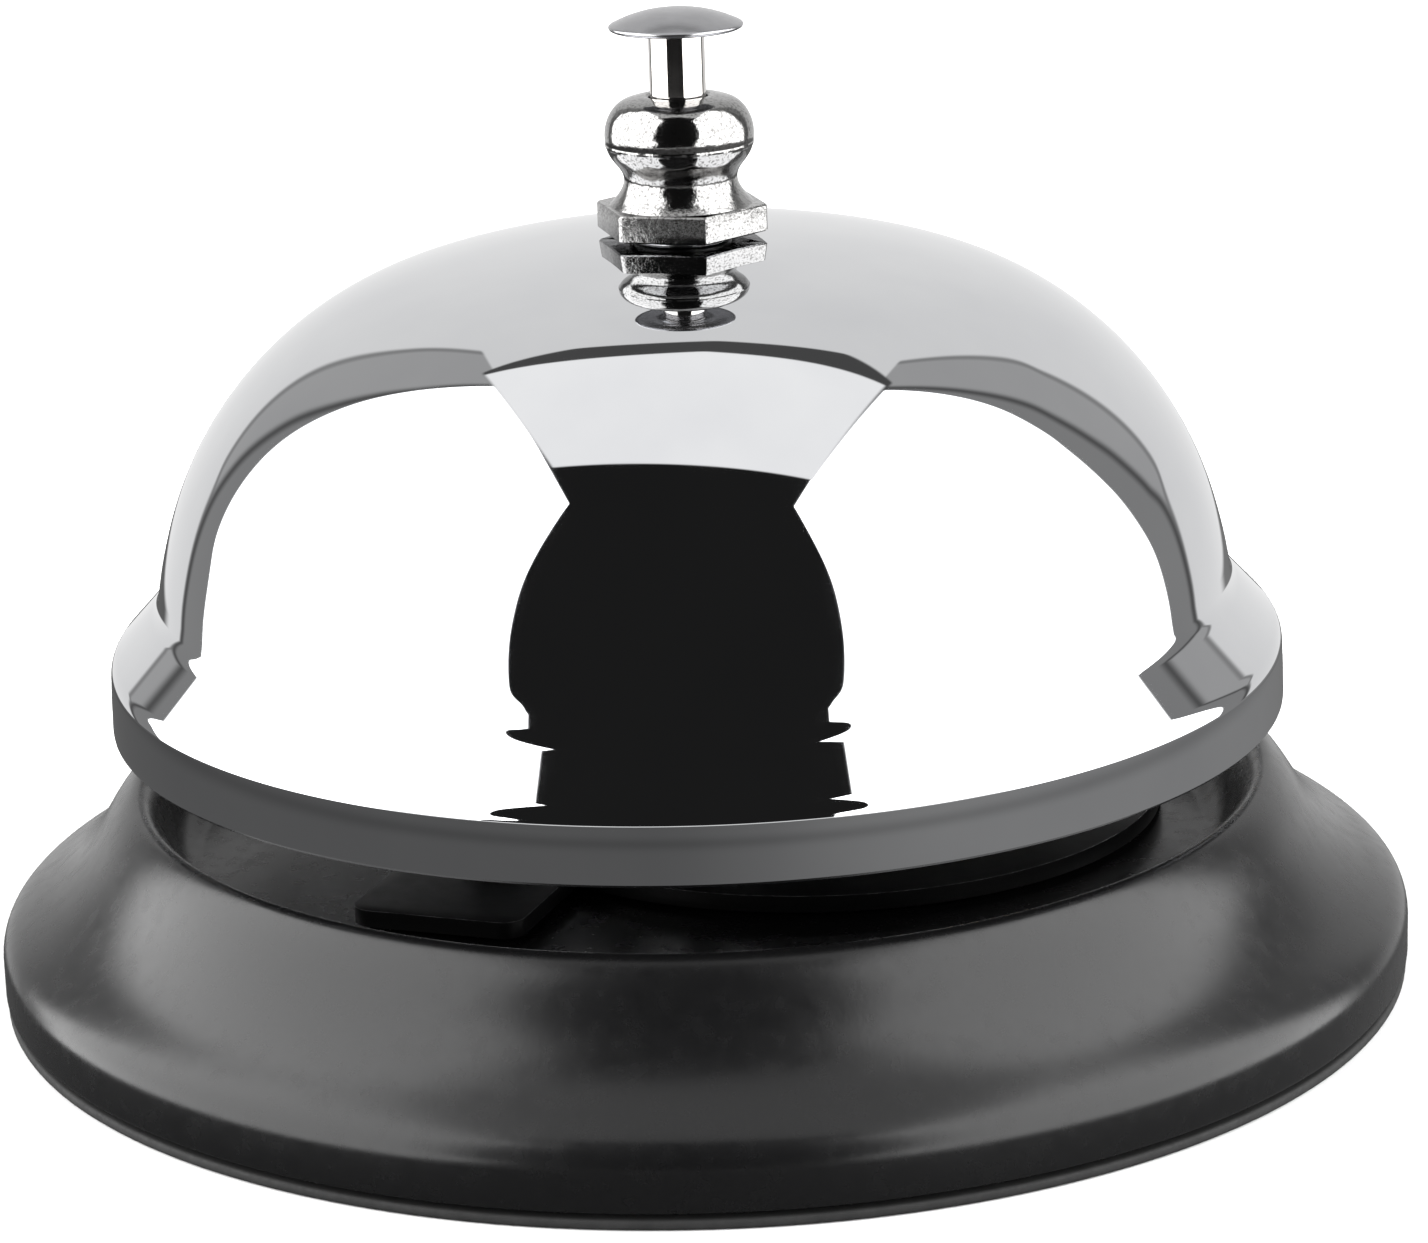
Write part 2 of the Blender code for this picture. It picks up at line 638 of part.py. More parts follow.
def make_hammer(parts, cutters, pivot):
    """Hammer lever, its striking head and the rivet that joins them."""
    end = HEAD_REACH + 1.9 * MM
    outline = lever_side(-10.3 * MM, end, LEVER_THICKNESS)
    lever = upright_prism("hammer_lever", outline, FINGER_HALF_WIDTH, parts)
    broad = [point for point in lever_side(-10.3 * MM, end, LEVER_THICKNESS) if point[0] >= 0.0]
    arm = upright_prism("arm_form", broad, ARM_HALF_WIDTH, cutters)
    hub_profile = [
        (0.0, HUB_HALF_LENGTH),
        (HUB_RADIUS, HUB_HALF_LENGTH),
        (HUB_RADIUS, -HUB_HALF_LENGTH),
        (0.0, -HUB_HALF_LENGTH),
    ]
    hub = turned("hub_form", hub_profile, cutters, PIN_STEPS)
    hub.rotation_euler = (math.radians(90.0), 0.0, 0.0)
    running = PIN_RADIUS + RUNNING_GAP
    long = 5.0 * MM
    drill_profile = [(0.0, long), (running, long), (running, -long), (0.0, -long)]
    pin_drill = turned("hub_drill", drill_profile, cutters, PIN_STEPS)
    pin_drill.rotation_euler = (math.radians(90.0), 0.0, 0.0)
    rivet_radius = 0.75 * MM
    hole = rivet_radius + 0.2 * MM
    hole_profile = [(0.0, long), (hole, long), (hole, -long), (0.0, -long)]
    rivet_hole = turned("head_drill", hole_profile, cutters, RIVET_STEPS)
    rivet_hole.location = (HEAD_REACH, 0.0, 0.0)
    for form in (arm, hub, pin_drill, rivet_hole):
        form.parent = pivot
        as_cutter(form)
    combine(lever, arm, "UNION")
    combine(lever, hub, "UNION")
    combine(lever, pin_drill, "DIFFERENCE")
    combine(lever, rivet_hole, "DIFFERENCE")
    finish(lever, new_material("lever_steel", (0.4, 0.4, 0.41), 0.35, 1.0))

    top = HEAD_BOTTOM + HEAD_HEIGHT
    socket_top = HEAD_BOTTOM + 1.9 * MM
    head_profile = [
        (0.0, top),
        (1.2 * MM, top - 0.1 * MM),
        (2.0 * MM, top - 0.6 * MM),
        (HEAD_RADIUS, top - 1.3 * MM),
        (HEAD_RADIUS, HEAD_BOTTOM + 0.4 * MM),
        (HEAD_RADIUS - 0.3 * MM, HEAD_BOTTOM),
        (hole, HEAD_BOTTOM),
        (hole, socket_top),
        (0.0, socket_top),
    ]
    head = turned("hammer_head", head_profile, parts, PIN_STEPS)
    head.location = (HEAD_REACH, 0.0, 0.0)
    finish(head, new_material("hammer_brass", (0.62, 0.48, 0.24), 0.3, 1.0))

    under = 0.8 * MM - 0.5 * LEVER_THICKNESS - 0.2 * MM
    rivet_profile = [
        (0.0, socket_top - 0.3 * MM),
        (rivet_radius, socket_top - 0.3 * MM),
        (rivet_radius, under),
        (1.5 * MM, under),
        (1.3 * MM, under - 0.6 * MM),
        (0.0, under - 0.7 * MM),
    ]
    rivet = turned("hammer_rivet", rivet_profile, parts, RIVET_STEPS)
    rivet.location = (HEAD_REACH, 0.0, 0.0)
    finish(rivet, new_material("hammer_rivet_steel", (0.45, 0.45, 0.46), 0.35, 1.0))
    for piece in (lever, head, rivet):
        piece.parent = pivot
    return lever, head, rivet


def make_pivot_pin(parts, pivot):
    """Headed pin through both ears, and the clip in its groove."""
    face = EAR_INNER + EAR_THICKNESS + 0.25 * MM
    clip_low = face
    clip_high = face + 0.5 * MM
    profile = [
        (0.0, clip_high + 0.6 * MM),
        (PIN_RADIUS, clip_high + 0.6 * MM),
        (PIN_RADIUS, clip_high + 0.1 * MM),
        (PIN_GROOVE_RADIUS, clip_high + 0.1 * MM),
        (PIN_GROOVE_RADIUS, clip_low - 0.1 * MM),
        (PIN_RADIUS, clip_low - 0.1 * MM),
        (PIN_RADIUS, -face),
        (PIN_HEAD_RADIUS, -face),
        (PIN_HEAD_RADIUS, -face - 0.5 * MM),
        (0.8 * PIN_HEAD_RADIUS, -face - 0.8 * MM),
        (0.0, -face - 0.8 * MM),
    ]
    pin = turned("pivot_pin", profile, parts, PIN_STEPS)
    finish(pin, new_material("pin_steel", (0.5, 0.5, 0.51), 0.3, 1.0))
    clip = open_clip("pin_clip", PIN_GROOVE_RADIUS + 0.12 * MM, 1.6 * MM, clip_low, clip_high, parts)
    finish(clip, new_material("pin_clip_steel", (0.33, 0.33, 0.34), 0.4, 1.0))
    for piece in (pin, clip):
        piece.parent = pivot
        piece.rotation_euler = (math.radians(90.0), 0.0, 0.0)
    return pin, clip


def new_empty(name, place, turn, collection):
    """Make a plain-axes empty that marks a joint."""
    empty = bpy.data.objects.new(name, None)
    empty.empty_display_size = 5.0 * MM
    empty.location = place
    empty.rotation_euler = (0.0, 0.0, turn)
    collection.objects.link(empty)
    return empty


def main():
    """Build the whole bell."""
    clear_scene()
    parts = new_collection("service_bell")
    cutters = new_collection("cutters")
    plunger_axis = new_empty("plunger_axis", (0.0, 0.0, 0.0), 0.0, cutters)
    pivot_place = (
        PIVOT_REACH * math.cos(LEVER_TURN),
        PIVOT_REACH * math.sin(LEVER_TURN),
        PIVOT_HEIGHT,
    )
    pivot = new_empty("hammer_pivot", pivot_place, LEVER_TURN, cutters)
    make_base_shell(parts, cutters)
    make_foot_ring(parts)
    make_striker_plate(parts, cutters, pivot)
    make_rivets(parts)
    make_post(parts, cutters)
    zinc = new_material("washer_zinc", (0.52, 0.51, 0.48), 0.4, 1.0)
    make_washer("post_washer", NUT_THREAD_RADIUS, 7.0 * MM, 5.9 * MM, 6.7 * MM, zinc, parts)
    make_post_lock_nut(parts, cutters)
    steel = new_material("seat_steel", (0.5, 0.5, 0.51), 0.35, 1.0)
    make_washer("seat_washer", NUT_THREAD_RADIUS, 6.0 * MM, 42.15 * MM, 42.85 * MM, steel, parts)
    fibre = new_material("fibre_red_brown", (0.16, 0.05, 0.03), 0.8, 0.0)
    make_washer("fibre_washer", NUT_THREAD_RADIUS, 5.4 * MM, 43.05 * MM, 43.55 * MM, fibre, parts)
    make_bell_dome(parts)
    make_finial_nut(parts, cutters)
    make_plunger(parts, plunger_axis)
    make_return_spring(parts)
    make_hammer(parts, cutters, pivot)
    make_pivot_pin(parts, pivot)


main()
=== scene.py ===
"""Looks of a counter service bell: a chromed gong on a black pressed base, rung by a button on top.

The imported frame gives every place. Each sub-assembly is a class that models its pieces with Blender's own
operators, dresses them in a finish and hangs them on the moving body that they belong to.
"""

import logging
import math
from contextlib import contextmanager
from dataclasses import dataclass
from enum import Enum
from itertools import pairwise
from typing import Any, Callable, Iterator, Sequence

import bmesh
import bpy
import numpy as np
from mathutils import Matrix, Vector

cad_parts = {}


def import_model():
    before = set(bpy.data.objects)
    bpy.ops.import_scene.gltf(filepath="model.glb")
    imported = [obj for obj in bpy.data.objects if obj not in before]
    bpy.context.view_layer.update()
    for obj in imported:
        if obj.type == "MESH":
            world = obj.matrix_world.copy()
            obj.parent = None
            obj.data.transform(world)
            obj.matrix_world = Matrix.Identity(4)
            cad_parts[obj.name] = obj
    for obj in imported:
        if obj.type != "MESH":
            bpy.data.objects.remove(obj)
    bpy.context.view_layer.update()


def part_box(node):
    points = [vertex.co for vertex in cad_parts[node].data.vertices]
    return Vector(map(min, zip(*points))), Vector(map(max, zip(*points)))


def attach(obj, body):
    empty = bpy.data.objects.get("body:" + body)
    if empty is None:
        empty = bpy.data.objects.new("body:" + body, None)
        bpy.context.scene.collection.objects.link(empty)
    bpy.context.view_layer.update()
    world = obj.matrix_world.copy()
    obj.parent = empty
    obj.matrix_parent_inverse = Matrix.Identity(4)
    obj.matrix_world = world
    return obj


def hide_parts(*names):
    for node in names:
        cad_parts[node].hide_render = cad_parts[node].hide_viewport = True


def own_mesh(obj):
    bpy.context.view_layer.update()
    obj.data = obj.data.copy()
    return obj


log = logging.getLogger("service_bell")

MM = 0.001
FULL_TURN = 2.0 * math.pi
TINY = 0.001 * MM

Point = tuple[float, float]
Ring = tuple[float, float, float]
Colour = tuple[float, float, float]
Test = Callable[[Vector], bool]


class Body(Enum):
    """Moving bodies of the frame."""

    BASE = "base"
    PLUNGER = "plunger"
    HAMMER = "hammer"


class Pick(Enum):
    """What an edit-mode selection is made of."""

    VERTS = "VERT"
    EDGES = "EDGE"
    FACES = "FACE"


class Cut(Enum):
    """How one solid changes another."""

    JOIN = "UNION"
    DRILL = "DIFFERENCE"


# ---------------------------------------------------------------------------------------------------------
# Outlines, in millimetres
# ---------------------------------------------------------------------------------------------------------


def fair_curve(
    marks: Sequence[Point], start: Point | None = None, end: Point | None = None, spacing: float = 0.4
) -> list[Point]:
    """Runs one fair cubic curve through marked points.

    Args:
        marks: The points that the curve passes through.
        start: Direction of the curve at its first point, or None to leave it free.
        end: Direction of the curve at its last point, or None to leave it free.
        spacing: Distance between the points of the result.

    Returns:
        Evenly spaced points of the curve, with both ends.
    """
    points = np.array(marks, float)
    steps = np.diff(points, axis=0)
    spans = np.hypot(steps[:, 0], steps[:, 1])
    stations = np.concatenate([[0.0], np.cumsum(spans)])
    slopes = steps / spans[:, None]
    count = len(points)
    system = np.eye(count)
    bends = np.zeros((count, 2))
    for i in range(1, count - 1):
        system[i, i - 1 : i + 2] = spans[i - 1], 2.0 * (spans[i - 1] + spans[i]), spans[i]
        bends[i] = 6.0 * (slopes[i] - slopes[i - 1])
    if start is not None:
        system[0, :2] = 2.0 * spans[0], spans[0]
        bends[0] = 6.0 * (slopes[0] - np.array(start))
    if end is not None:
        system[-1, -2:] = spans[-1], 2.0 * spans[-1]
        bends[-1] = 6.0 * (np.array(end) - slopes[-1])
    bends = np.linalg.solve(system, bends)
    result = []
    for station in np.linspace(0.0, stations[-1], max(2, round(stations[-1] / spacing)) + 1):
        i = min(int(np.searchsorted(stations, station, side="right")) - 1, count - 2)
        ahead, behind, span = stations[i + 1] - station, station - stations[i], spans[i]
        place = (bends[i] * ahead**3 + bends[i + 1] * behind**3) / (6.0 * span)
        place += (points[i] / span - bends[i] * span / 6.0) * ahead
        place += (points[i + 1] / span - bends[i + 1] * span / 6.0) * behind
        result.append((float(place[0]), float(place[1])))
    return result


def rounded(corners: Sequence[Point], radius: float, steps: int = 4) -> list[Point]:
    """Rounds every corner of a closed outline.

    Args:
        corners: The outline's corners, in order.
        radius: How far from each corner the rounding starts.
        steps: Number of short edges in each rounding.

    Returns:
        The closed outline's points, with the rounded corners.
    """
    result = []
    for i, corner in enumerate(corners):
        here = Vector(corner)
        legs = [Vector(corners[i - 1]) - here, Vector(corners[(i + 1) % len(corners)]) - here]
        reach = min([radius] + [0.45 * leg.length for leg in legs])
        first, last = (here + leg.normalized() * reach for leg in legs)
        for step in range(steps + 1):
            t = step / steps
            place = first * (1.0 - t) ** 2 + here * 2.0 * t * (1.0 - t) + last * t**2
            result.append((place.x, place.y))
    return result


def wall_inside(outline: Sequence[Point], wall: float) -> list[Point]:
    """Shifts an open outline to its right-hand side by a wall's thickness.

    Args:
        outline: Points of the outer face, from its start to its end.
        wall: Thickness of the wall.

    Returns:
        The inner face's points, in the same order.
    """
    shifted = []
    for i, (x, y) in enumerate(outline):
        before, after = outline[max(i - 1, 0)], outline[min(i + 1, len(outline) - 1)]
        along = Vector((after[0] - before[0], after[1] - before[1])).normalized()
        shifted.append((x + wall * along.y, y - wall * along.x))
    return shifted


def thread(radius: float, low: float, high: float, pitch: float = 0.6, depth: float = 0.18) -> list[Point]:
    """Draws the crests and roots of a screw thread, from its low end up to its high end."""
    count = int((high - low) / pitch)
    points = [(radius - depth, low)]
    for i in range(count):
        foot = low + (i + 0.25) * pitch
        points += [(radius, foot), (radius, foot + 0.15 * pitch), (radius - depth, foot + 0.5 * pitch)]
    return points + [(radius - depth, high)]


# ---------------------------------------------------------------------------------------------------------
# Modelling by hand
# ---------------------------------------------------------------------------------------------------------


def deselect_all() -> None:
    """Leaves nothing selected in object mode."""
    for item in bpy.context.selected_objects:
        item.select_set(False)


def activate(piece: bpy.types.Object) -> None:
    """Makes a piece the only selected object and the active one."""
    deselect_all()
    piece.select_set(True)
    bpy.context.view_layer.objects.active = piece


@contextmanager
def editing(piece: bpy.types.Object, kind: Pick = Pick.VERTS) -> Iterator[None]:
    """Opens a piece in edit mode with nothing selected, and closes it again.

    Args:
        piece: The object to edit.
        kind: Whether vertices, edges or faces are selected meanwhile.
    """
    activate(piece)
    bpy.ops.object.mode_set(mode="EDIT")
    bpy.ops.mesh.select_mode(type=kind.value)
    bpy.ops.mesh.select_all(action="DESELECT")
    yield
    bpy.ops.object.mode_set(mode="OBJECT")


def pick(piece: bpy.types.Object, test: Test, kind: Pick = Pick.VERTS) -> None:
    """Selects what passes a test, and nothing else, in edit mode.

    Args:
        piece: The object that is open in edit mode.
        test: Takes a vertex's place, or an edge's or face's middle, and says whether to select it.
        kind: Whether the test is made on vertices, edges or faces.
    """
    bpy.ops.mesh.select_mode(type=kind.value)
    bpy.ops.mesh.select_all(action="DESELECT")
    mesh = bmesh.from_edit_mesh(piece.data)
    for vert in mesh.verts if kind is Pick.VERTS else ():
        vert.select = test(vert.co)
    for edge in mesh.edges if kind is Pick.EDGES else ():
        edge.select_set(test((edge.verts[0].co + edge.verts[1].co) / 2.0))
    for face in mesh.faces if kind is Pick.FACES else ():
        face.select_set(test(face.calc_center_median()))
    if kind is Pick.VERTS:
        mesh.select_flush(True)
    bmesh.update_edit_mesh(piece.data)


def named(name: str) -> bpy.types.Object:
    """Names the object that was just added, and its mesh, and returns it."""
    piece = bpy.context.object
    piece.name = piece.data.name = name
    return piece


def settle(piece: bpy.types.Object) -> None:
    """Applies a piece's place, turn and scale to its mesh."""
    activate(piece)
    bpy.ops.object.transform_apply(location=True, rotation=True, scale=True)


def close_up() -> None:
    """Merges doubles and turns all faces outwards, in edit mode."""
    bpy.ops.mesh.select_all(action="SELECT")
    bpy.ops.mesh.remove_doubles(threshold=TINY)
    bpy.ops.mesh.normals_make_consistent(inside=False)


def smooth(piece: bpy.types.Object, angle: float = 32.0) -> bpy.types.Object:
    """Shades a piece smooth, with sharp edges above an angle in degrees."""
    activate(piece)
    bpy.ops.object.shade_smooth_by_angle(angle=math.radians(angle))
    return piece


def draw_outline(name: str, outline: Sequence[Point], closed: bool) -> bpy.types.Object:
    """Draws an outline of (radius, height) in the XZ plane, from one vertex, by extruding it.

    Args:
        name: Name of the new object.
        outline: The outline's points in millimetres.
        closed: Whether the last point is joined to the first one.

    Returns:
        The new object, in edit mode, with its whole outline selected.
    """
    deselect_all()
    radius, height = outline[0]
    bpy.ops.mesh.primitive_plane_add(size=MM, location=(radius * MM, 0.0, height * MM), enter_editmode=True)
    piece = named(name)
    bpy.ops.mesh.select_mode(type=Pick.VERTS.value)
    bpy.ops.mesh.merge(type="CENTER")
    for before, after in pairwise(outline):
        step = ((after[0] - before[0]) * MM, 0.0, (after[1] - before[1]) * MM)
        bpy.ops.mesh.extrude_vertices_move(TRANSFORM_OT_translate={"value": step})
    if closed:
        mesh = bmesh.from_edit_mesh(piece.data)
        for vert in mesh.verts:
            vert.select = len(vert.link_edges) == 1
        bmesh.update_edit_mesh(piece.data)
        bpy.ops.mesh.edge_face_add()
    bpy.ops.mesh.select_all(action="SELECT")
    return piece


def turn(
    name: str, outline: Sequence[Point], steps: int = 96, closed: bool = False, angle: float = 32.0
) -> bpy.types.Object:
    """Draws half a section and spins it round the bell's axis.

    Args:
        name: Name of the new piece.
        outline: Points of (radius, height) in millimetres.
        steps: Number of faces round the piece.
        closed: Whether the section is a ring's.
        angle: Smooth shading's limit, in degrees.

    Returns:
        The turned piece.
    """
    piece = draw_outline(name, outline, closed)
    bpy.ops.mesh.spin(steps=steps, angle=FULL_TURN, center=(0.0, 0.0, 0.0), axis=(0.0, 0.0, 1.0))
    close_up()
    bpy.ops.object.mode_set(mode="OBJECT")
    settle(piece)
    return smooth(piece, angle)


def place(piece: bpy.types.Object, matrix: Matrix) -> bpy.types.Object:
    """Moves a piece's mesh to where a matrix says, in metres."""
    piece.matrix_world = matrix
    bpy.context.view_layer.update()
    settle(piece)
    return piece


def cut(piece: bpy.types.Object, tool: bpy.types.Object, how: Cut) -> None:
    """Joins a form to a piece, or drills the piece with it, and removes the form.

    Args:
        piece: The piece that stays.
        tool: The form that is used up.
        how: Whether the form is added or taken away.
    """
    activate(piece)
    change = piece.modifiers.new(how.name.title(), "BOOLEAN")
    change.operation = how.value
    change.solver = "EXACT"
    change.object = tool
    bpy.ops.object.modifier_apply(modifier=change.name)
    bpy.data.objects.remove(tool, do_unlink=True)


def soften(piece: bpy.types.Object, width: float, segments: int = 2, angle: float = 35.0) -> bpy.types.Object:
    """Breaks a piece's sharp edges with a bevel, in millimetres, and shades it smooth."""
    activate(piece)
    bevel = piece.modifiers.new("Broken edge", "BEVEL")
    bevel.width = width * MM
    bevel.segments = segments
    bevel.limit_method = "ANGLE"
    bevel.angle_limit = math.radians(angle)
    bpy.ops.object.modifier_apply(modifier=bevel.name)
    return smooth(piece, angle)


def rod_form(name: str, radius: float, length: float, matrix: Matrix) -> bpy.types.Object:
    """Makes a plain round bar for a cut, in millimetres, lengthways along the matrix's Z axis."""
    deselect_all()
    bpy.ops.mesh.primitive_cylinder_add(vertices=48, radius=radius * MM, depth=length * MM)
    return place(named(name), matrix)


# ---------------------------------------------------------------------------------------------------------
# Finishes
# ---------------------------------------------------------------------------------------------------------


class NodeBench:
    """Lays out one material's nodes around its Principled shader."""

    def __init__(self, name: str) -> None:
        """Starts a new material with an empty bench."""
        self.material = bpy.data.materials.new(name)
        self.material.use_nodes = True
        self.tree = self.material.node_tree
        self.shader = self.tree.nodes["Principled BSDF"]
        self.where = self.add("ShaderNodeTexCoord").outputs["Object"]

    def add(self, kind: str, **settings: Any) -> bpy.types.Node:
        """Adds a node and sets its properties."""
        node = self.tree.nodes.new(kind)
        for key, value in settings.items():
            setattr(node, key, value)
        return node

    def join(self, source: Any, target: Any) -> None:
        """Links an output to an input."""
        self.tree.links.new(source, target)

    def noise(self, grain: float, detail: float = 4.0, roughness: float = 0.55, source: Any = None) -> Any:
        """Adds a noise pattern.

        Args:
            grain: Size of its features in millimetres.
            detail: Number of finer layers.
            roughness: Strength of the finer layers.
            source: The coordinates, or None for the piece's own.

        Returns:
            The noise node's factor output.
        """
        node = self.add("ShaderNodeTexNoise")
        node.inputs["Scale"].default_value = 1.0 / (grain * MM)
        node.inputs["Detail"].default_value = detail
        node.inputs["Roughness"].default_value = roughness
        self.join(source or self.where, node.inputs["Vector"])
        return node.outputs["Fac"]

    def spread(self, source: Any, low: float, high: float, start: float = 0.3, stop: float = 0.7) -> Any:
        """Maps a pattern from start…stop to low…high."""
        node = self.add("ShaderNodeMapRange")
        for key, value in (("From Min", start), ("From Max", stop), ("To Min", low), ("To Max", high)):
            node.inputs[key].default_value = value
        self.join(source, node.inputs["Value"])
        return node.outputs["Result"]

    def tint(self, source: Any, first: Colour, second: Colour, start: float = 0.3, stop: float = 0.7) -> Any:
        """Blends two colours by a pattern."""
        node = self.add("ShaderNodeValToRGB")
        node.color_ramp.elements[0].position = start
        node.color_ramp.elements[0].color = (*first, 1.0)
        node.color_ramp.elements[1].position = stop
        node.color_ramp.elements[1].color = (*second, 1.0)
        self.join(source, node.inputs["Fac"])
        return node.outputs["Color"]

    def bump(self, source: Any, depth: float, strength: float = 1.0, under: Any = None) -> Any:
        """Adds relief of a depth in millimetres, over an earlier relief if there is one."""
        node = self.add("ShaderNodeBump")
        node.inputs["Strength"].default_value = strength
        node.inputs["Distance"].default_value = depth * MM
        self.join(source, node.inputs["Height"])
        if under is not None:
            self.join(under, node.inputs["Normal"])
        return node.outputs["Normal"]

    def rings(self) -> Any:
        """Gives coordinates that only know the distance from the bell's axis and the height."""
        split = self.add("ShaderNodeSeparateXYZ")
        self.join(self.where, split.inputs[0])
        flat = self.add("ShaderNodeCombineXYZ")
        self.join(split.outputs["X"], flat.inputs["X"])
        self.join(split.outputs["Y"], flat.inputs["Y"])
        length = self.add("ShaderNodeVectorMath", operation="LENGTH")
        self.join(flat.outputs[0], length.inputs[0])
        both = self.add("ShaderNodeCombineXYZ")
        self.join(length.outputs["Value"], both.inputs["X"])
        self.join(split.outputs["Z"], both.inputs["Z"])
        return both.outputs[0]

    def mix(self, share: Any, first: Any, second: Colour) -> Any:
        """Blends a colour output towards a plain colour by a share."""
        node = self.add("ShaderNodeMix", data_type="RGBA")
        self.join(share, node.inputs["Factor"])
        self.join(first, node.inputs[6])
        node.inputs[7].default_value = (*second, 1.0)
        return node.outputs[2]

    def worn_and_highlit_edge(self, strength: float, patches: Any) -> Any:
        """Finds the bevelled edges that tilt up and outwards: the coat worn through in patches, together with
        a painted highlight on these up-facing edges.
        """
        # Painted highlight as well as wear: only bevels that face upwards get the light bare colour.
        split = self.add("ShaderNodeSeparateXYZ")
        self.join(self.add("ShaderNodeNewGeometry").outputs["True Normal"], split.inputs[0])
        rise = self.spread(split.outputs["Z"], 0.0, strength, 0.2, 0.35)
        fall = self.spread(split.outputs["Z"], 1.0, 0.0, 0.93, 0.98)
        edge = self.add("ShaderNodeMath", operation="MULTIPLY")
        self.join(rise, edge.inputs[0])
        self.join(fall, edge.inputs[1])
        both = self.add("ShaderNodeMath", operation="MULTIPLY")
        self.join(edge.outputs[0], both.inputs[0])
        self.join(self.spread(patches, 0.25, 1.0, 0.4, 0.55), both.inputs[1])
        return both.outputs[0]

    def set(self, **values: Any) -> None:
        """Sets or links the shader's inputs, by name, with underscores for spaces."""
        for key, value in values.items():
            socket = self.shader.inputs[key.replace("_", " ")]
            if isinstance(value, bpy.types.NodeSocket):
                self.join(value, socket)
            else:
                socket.default_value = value


@dataclass(frozen=True)
class Chrome:
    """Bright plating: a near mirror with the faintest cloudiness."""

    name: str = "bright_chrome"
    bright: Colour = (0.62, 0.625, 0.635)
    cloud: Colour = (0.58, 0.585, 0.6)
    polish: Point = (0.012, 0.03)

    def material(self) -> bpy.types.Material:
        """Builds the material."""
        bench = NodeBench(self.name)
        clouds = bench.noise(9.0, detail=3.0)
        bench.set(
            Base_Color=bench.tint(clouds, self.bright, self.cloud),
            Metallic=1.0,
            Roughness=bench.spread(bench.noise(2.5), *self.polish),
        )
        return bench.material


@dataclass(frozen=True)
class CastPlate:
    """Plating over a die casting: bright, but pitted and grainy where the mould left its skin."""

    name: str = "plated_casting"
    bright: Colour = (0.27, 0.268, 0.265)
    dull: Colour = (0.11, 0.108, 0.105)
    pit: float = 0.16
    wave: float = 1.1
    ball_skin: float = 0.25
    hex_top: float = 48.4
    ball_low: float = 49.6

    def material(self) -> bpy.types.Material:
        """Builds the material."""
        bench = NodeBench(self.name)
        pits = bench.noise(self.pit, detail=3.0, roughness=0.6)
        split = bench.add("ShaderNodeSeparateXYZ")
        bench.join(bench.where, split.inputs[0])
        neck = (self.hex_top * MM, self.ball_low * MM)
        rough_skin = bench.spread(split.outputs["Z"], 1.0, self.ball_skin, *neck)
        skin = bench.add("ShaderNodeMath", operation="MULTIPLY")
        bench.join(pits, skin.inputs[0])
        bench.join(rough_skin, skin.inputs[1])
        waves = bench.noise(self.wave, detail=2.0)
        relief = bench.bump(waves, 0.03)
        bench.set(
            Base_Color=bench.tint(pits, self.dull, self.bright, 0.36, 0.5),
            Metallic=1.0,
            Roughness=bench.spread(pits, 0.16, 0.05, 0.35, 0.6),
            Normal=bench.bump(skin.outputs[0], 0.011, under=relief),
        )
        return bench.material


@dataclass(frozen=True)
class TurnedMetal:
    """Bare or thinly plated metal with fine tool rings round the bell's axis."""

    name: str
    light: Colour = (0.5, 0.5, 0.5)
    dark: Colour = (0.4, 0.4, 0.41)
    polish: Point = (0.22, 0.34)
    ring: float = 0.12
    depth: float = 0.002

    def material(self) -> bpy.types.Material:
        """Builds the material."""
        bench = NodeBench(self.name)
        rings = bench.noise(self.ring, detail=2.0, source=bench.rings())
        bench.set(
            Base_Color=bench.tint(bench.noise(1.6), self.light, self.dark),
            Metallic=1.0,
            Roughness=bench.spread(rings, *self.polish),
            Normal=bench.bump(rings, self.depth),
        )
        return bench.material


@dataclass(frozen=True)
class PowderCoat:
    """Satin black coating with a fine orange-peel skin."""

    name: str = "black_powder_coat"
    black: Colour = (0.0025, 0.0025, 0.0027)
    speck: Colour = (0.005, 0.005, 0.0052)
    sheen: Point = (0.23, 0.29)
    peel: float = 0.3
    grain: float = 0.08
    depth: float = 0.0028
    gloss: float = 0.32
    # Share and colour of the light edge: the coat's wear and a painted edge highlight on the up-facing
    # bevels.
    edge_wear_and_highlight: float = 0.0
    bare_edge_and_highlight: Colour = (0.6, 0.6, 0.61)

    def material(self) -> bpy.types.Material:
        """Builds the material."""
        bench = NodeBench(self.name)
        peel = bench.noise(self.peel, detail=2.0)
        grain = bench.noise(self.grain, detail=2.0)
        relief = bench.bump(peel, self.depth)
        colour = bench.tint(grain, self.black, self.speck)
        # Painted highlight and wear: the up-facing bevels are blended towards a light bare colour.
        if self.edge_wear_and_highlight:
            colour = bench.mix(bench.worn_and_highlit_edge(self.edge_wear_and_highlight, bench.noise(0.7, detail=5.0)), colour, self.bare_edge_and_highlight)
        bench.set(
            Base_Color=colour,
            Roughness=bench.spread(bench.noise(1.2), *self.sheen),
            Specular_IOR_Level=self.gloss,
            Normal=bench.bump(grain, 0.4 * self.depth, under=relief),
        )
        return bench.material


@dataclass(frozen=True)
class Dull:
    """Rubber or pressed fibre: no gloss, a soft mottle and a fine tooth."""

    name: str
    ground: Colour
    mottle: Colour
    grain: float = 0.25
    rough: Point = (0.7, 0.85)

    def material(self) -> bpy.types.Material:
        """Builds the material."""
        bench = NodeBench(self.name)
        grain = bench.noise(self.grain)
        bench.set(
            Base_Color=bench.tint(bench.noise(4.0 * self.grain), self.ground, self.mottle),
            Roughness=bench.spread(grain, *self.rough),
            Normal=bench.bump(grain, 0.01),
        )
        return bench.material


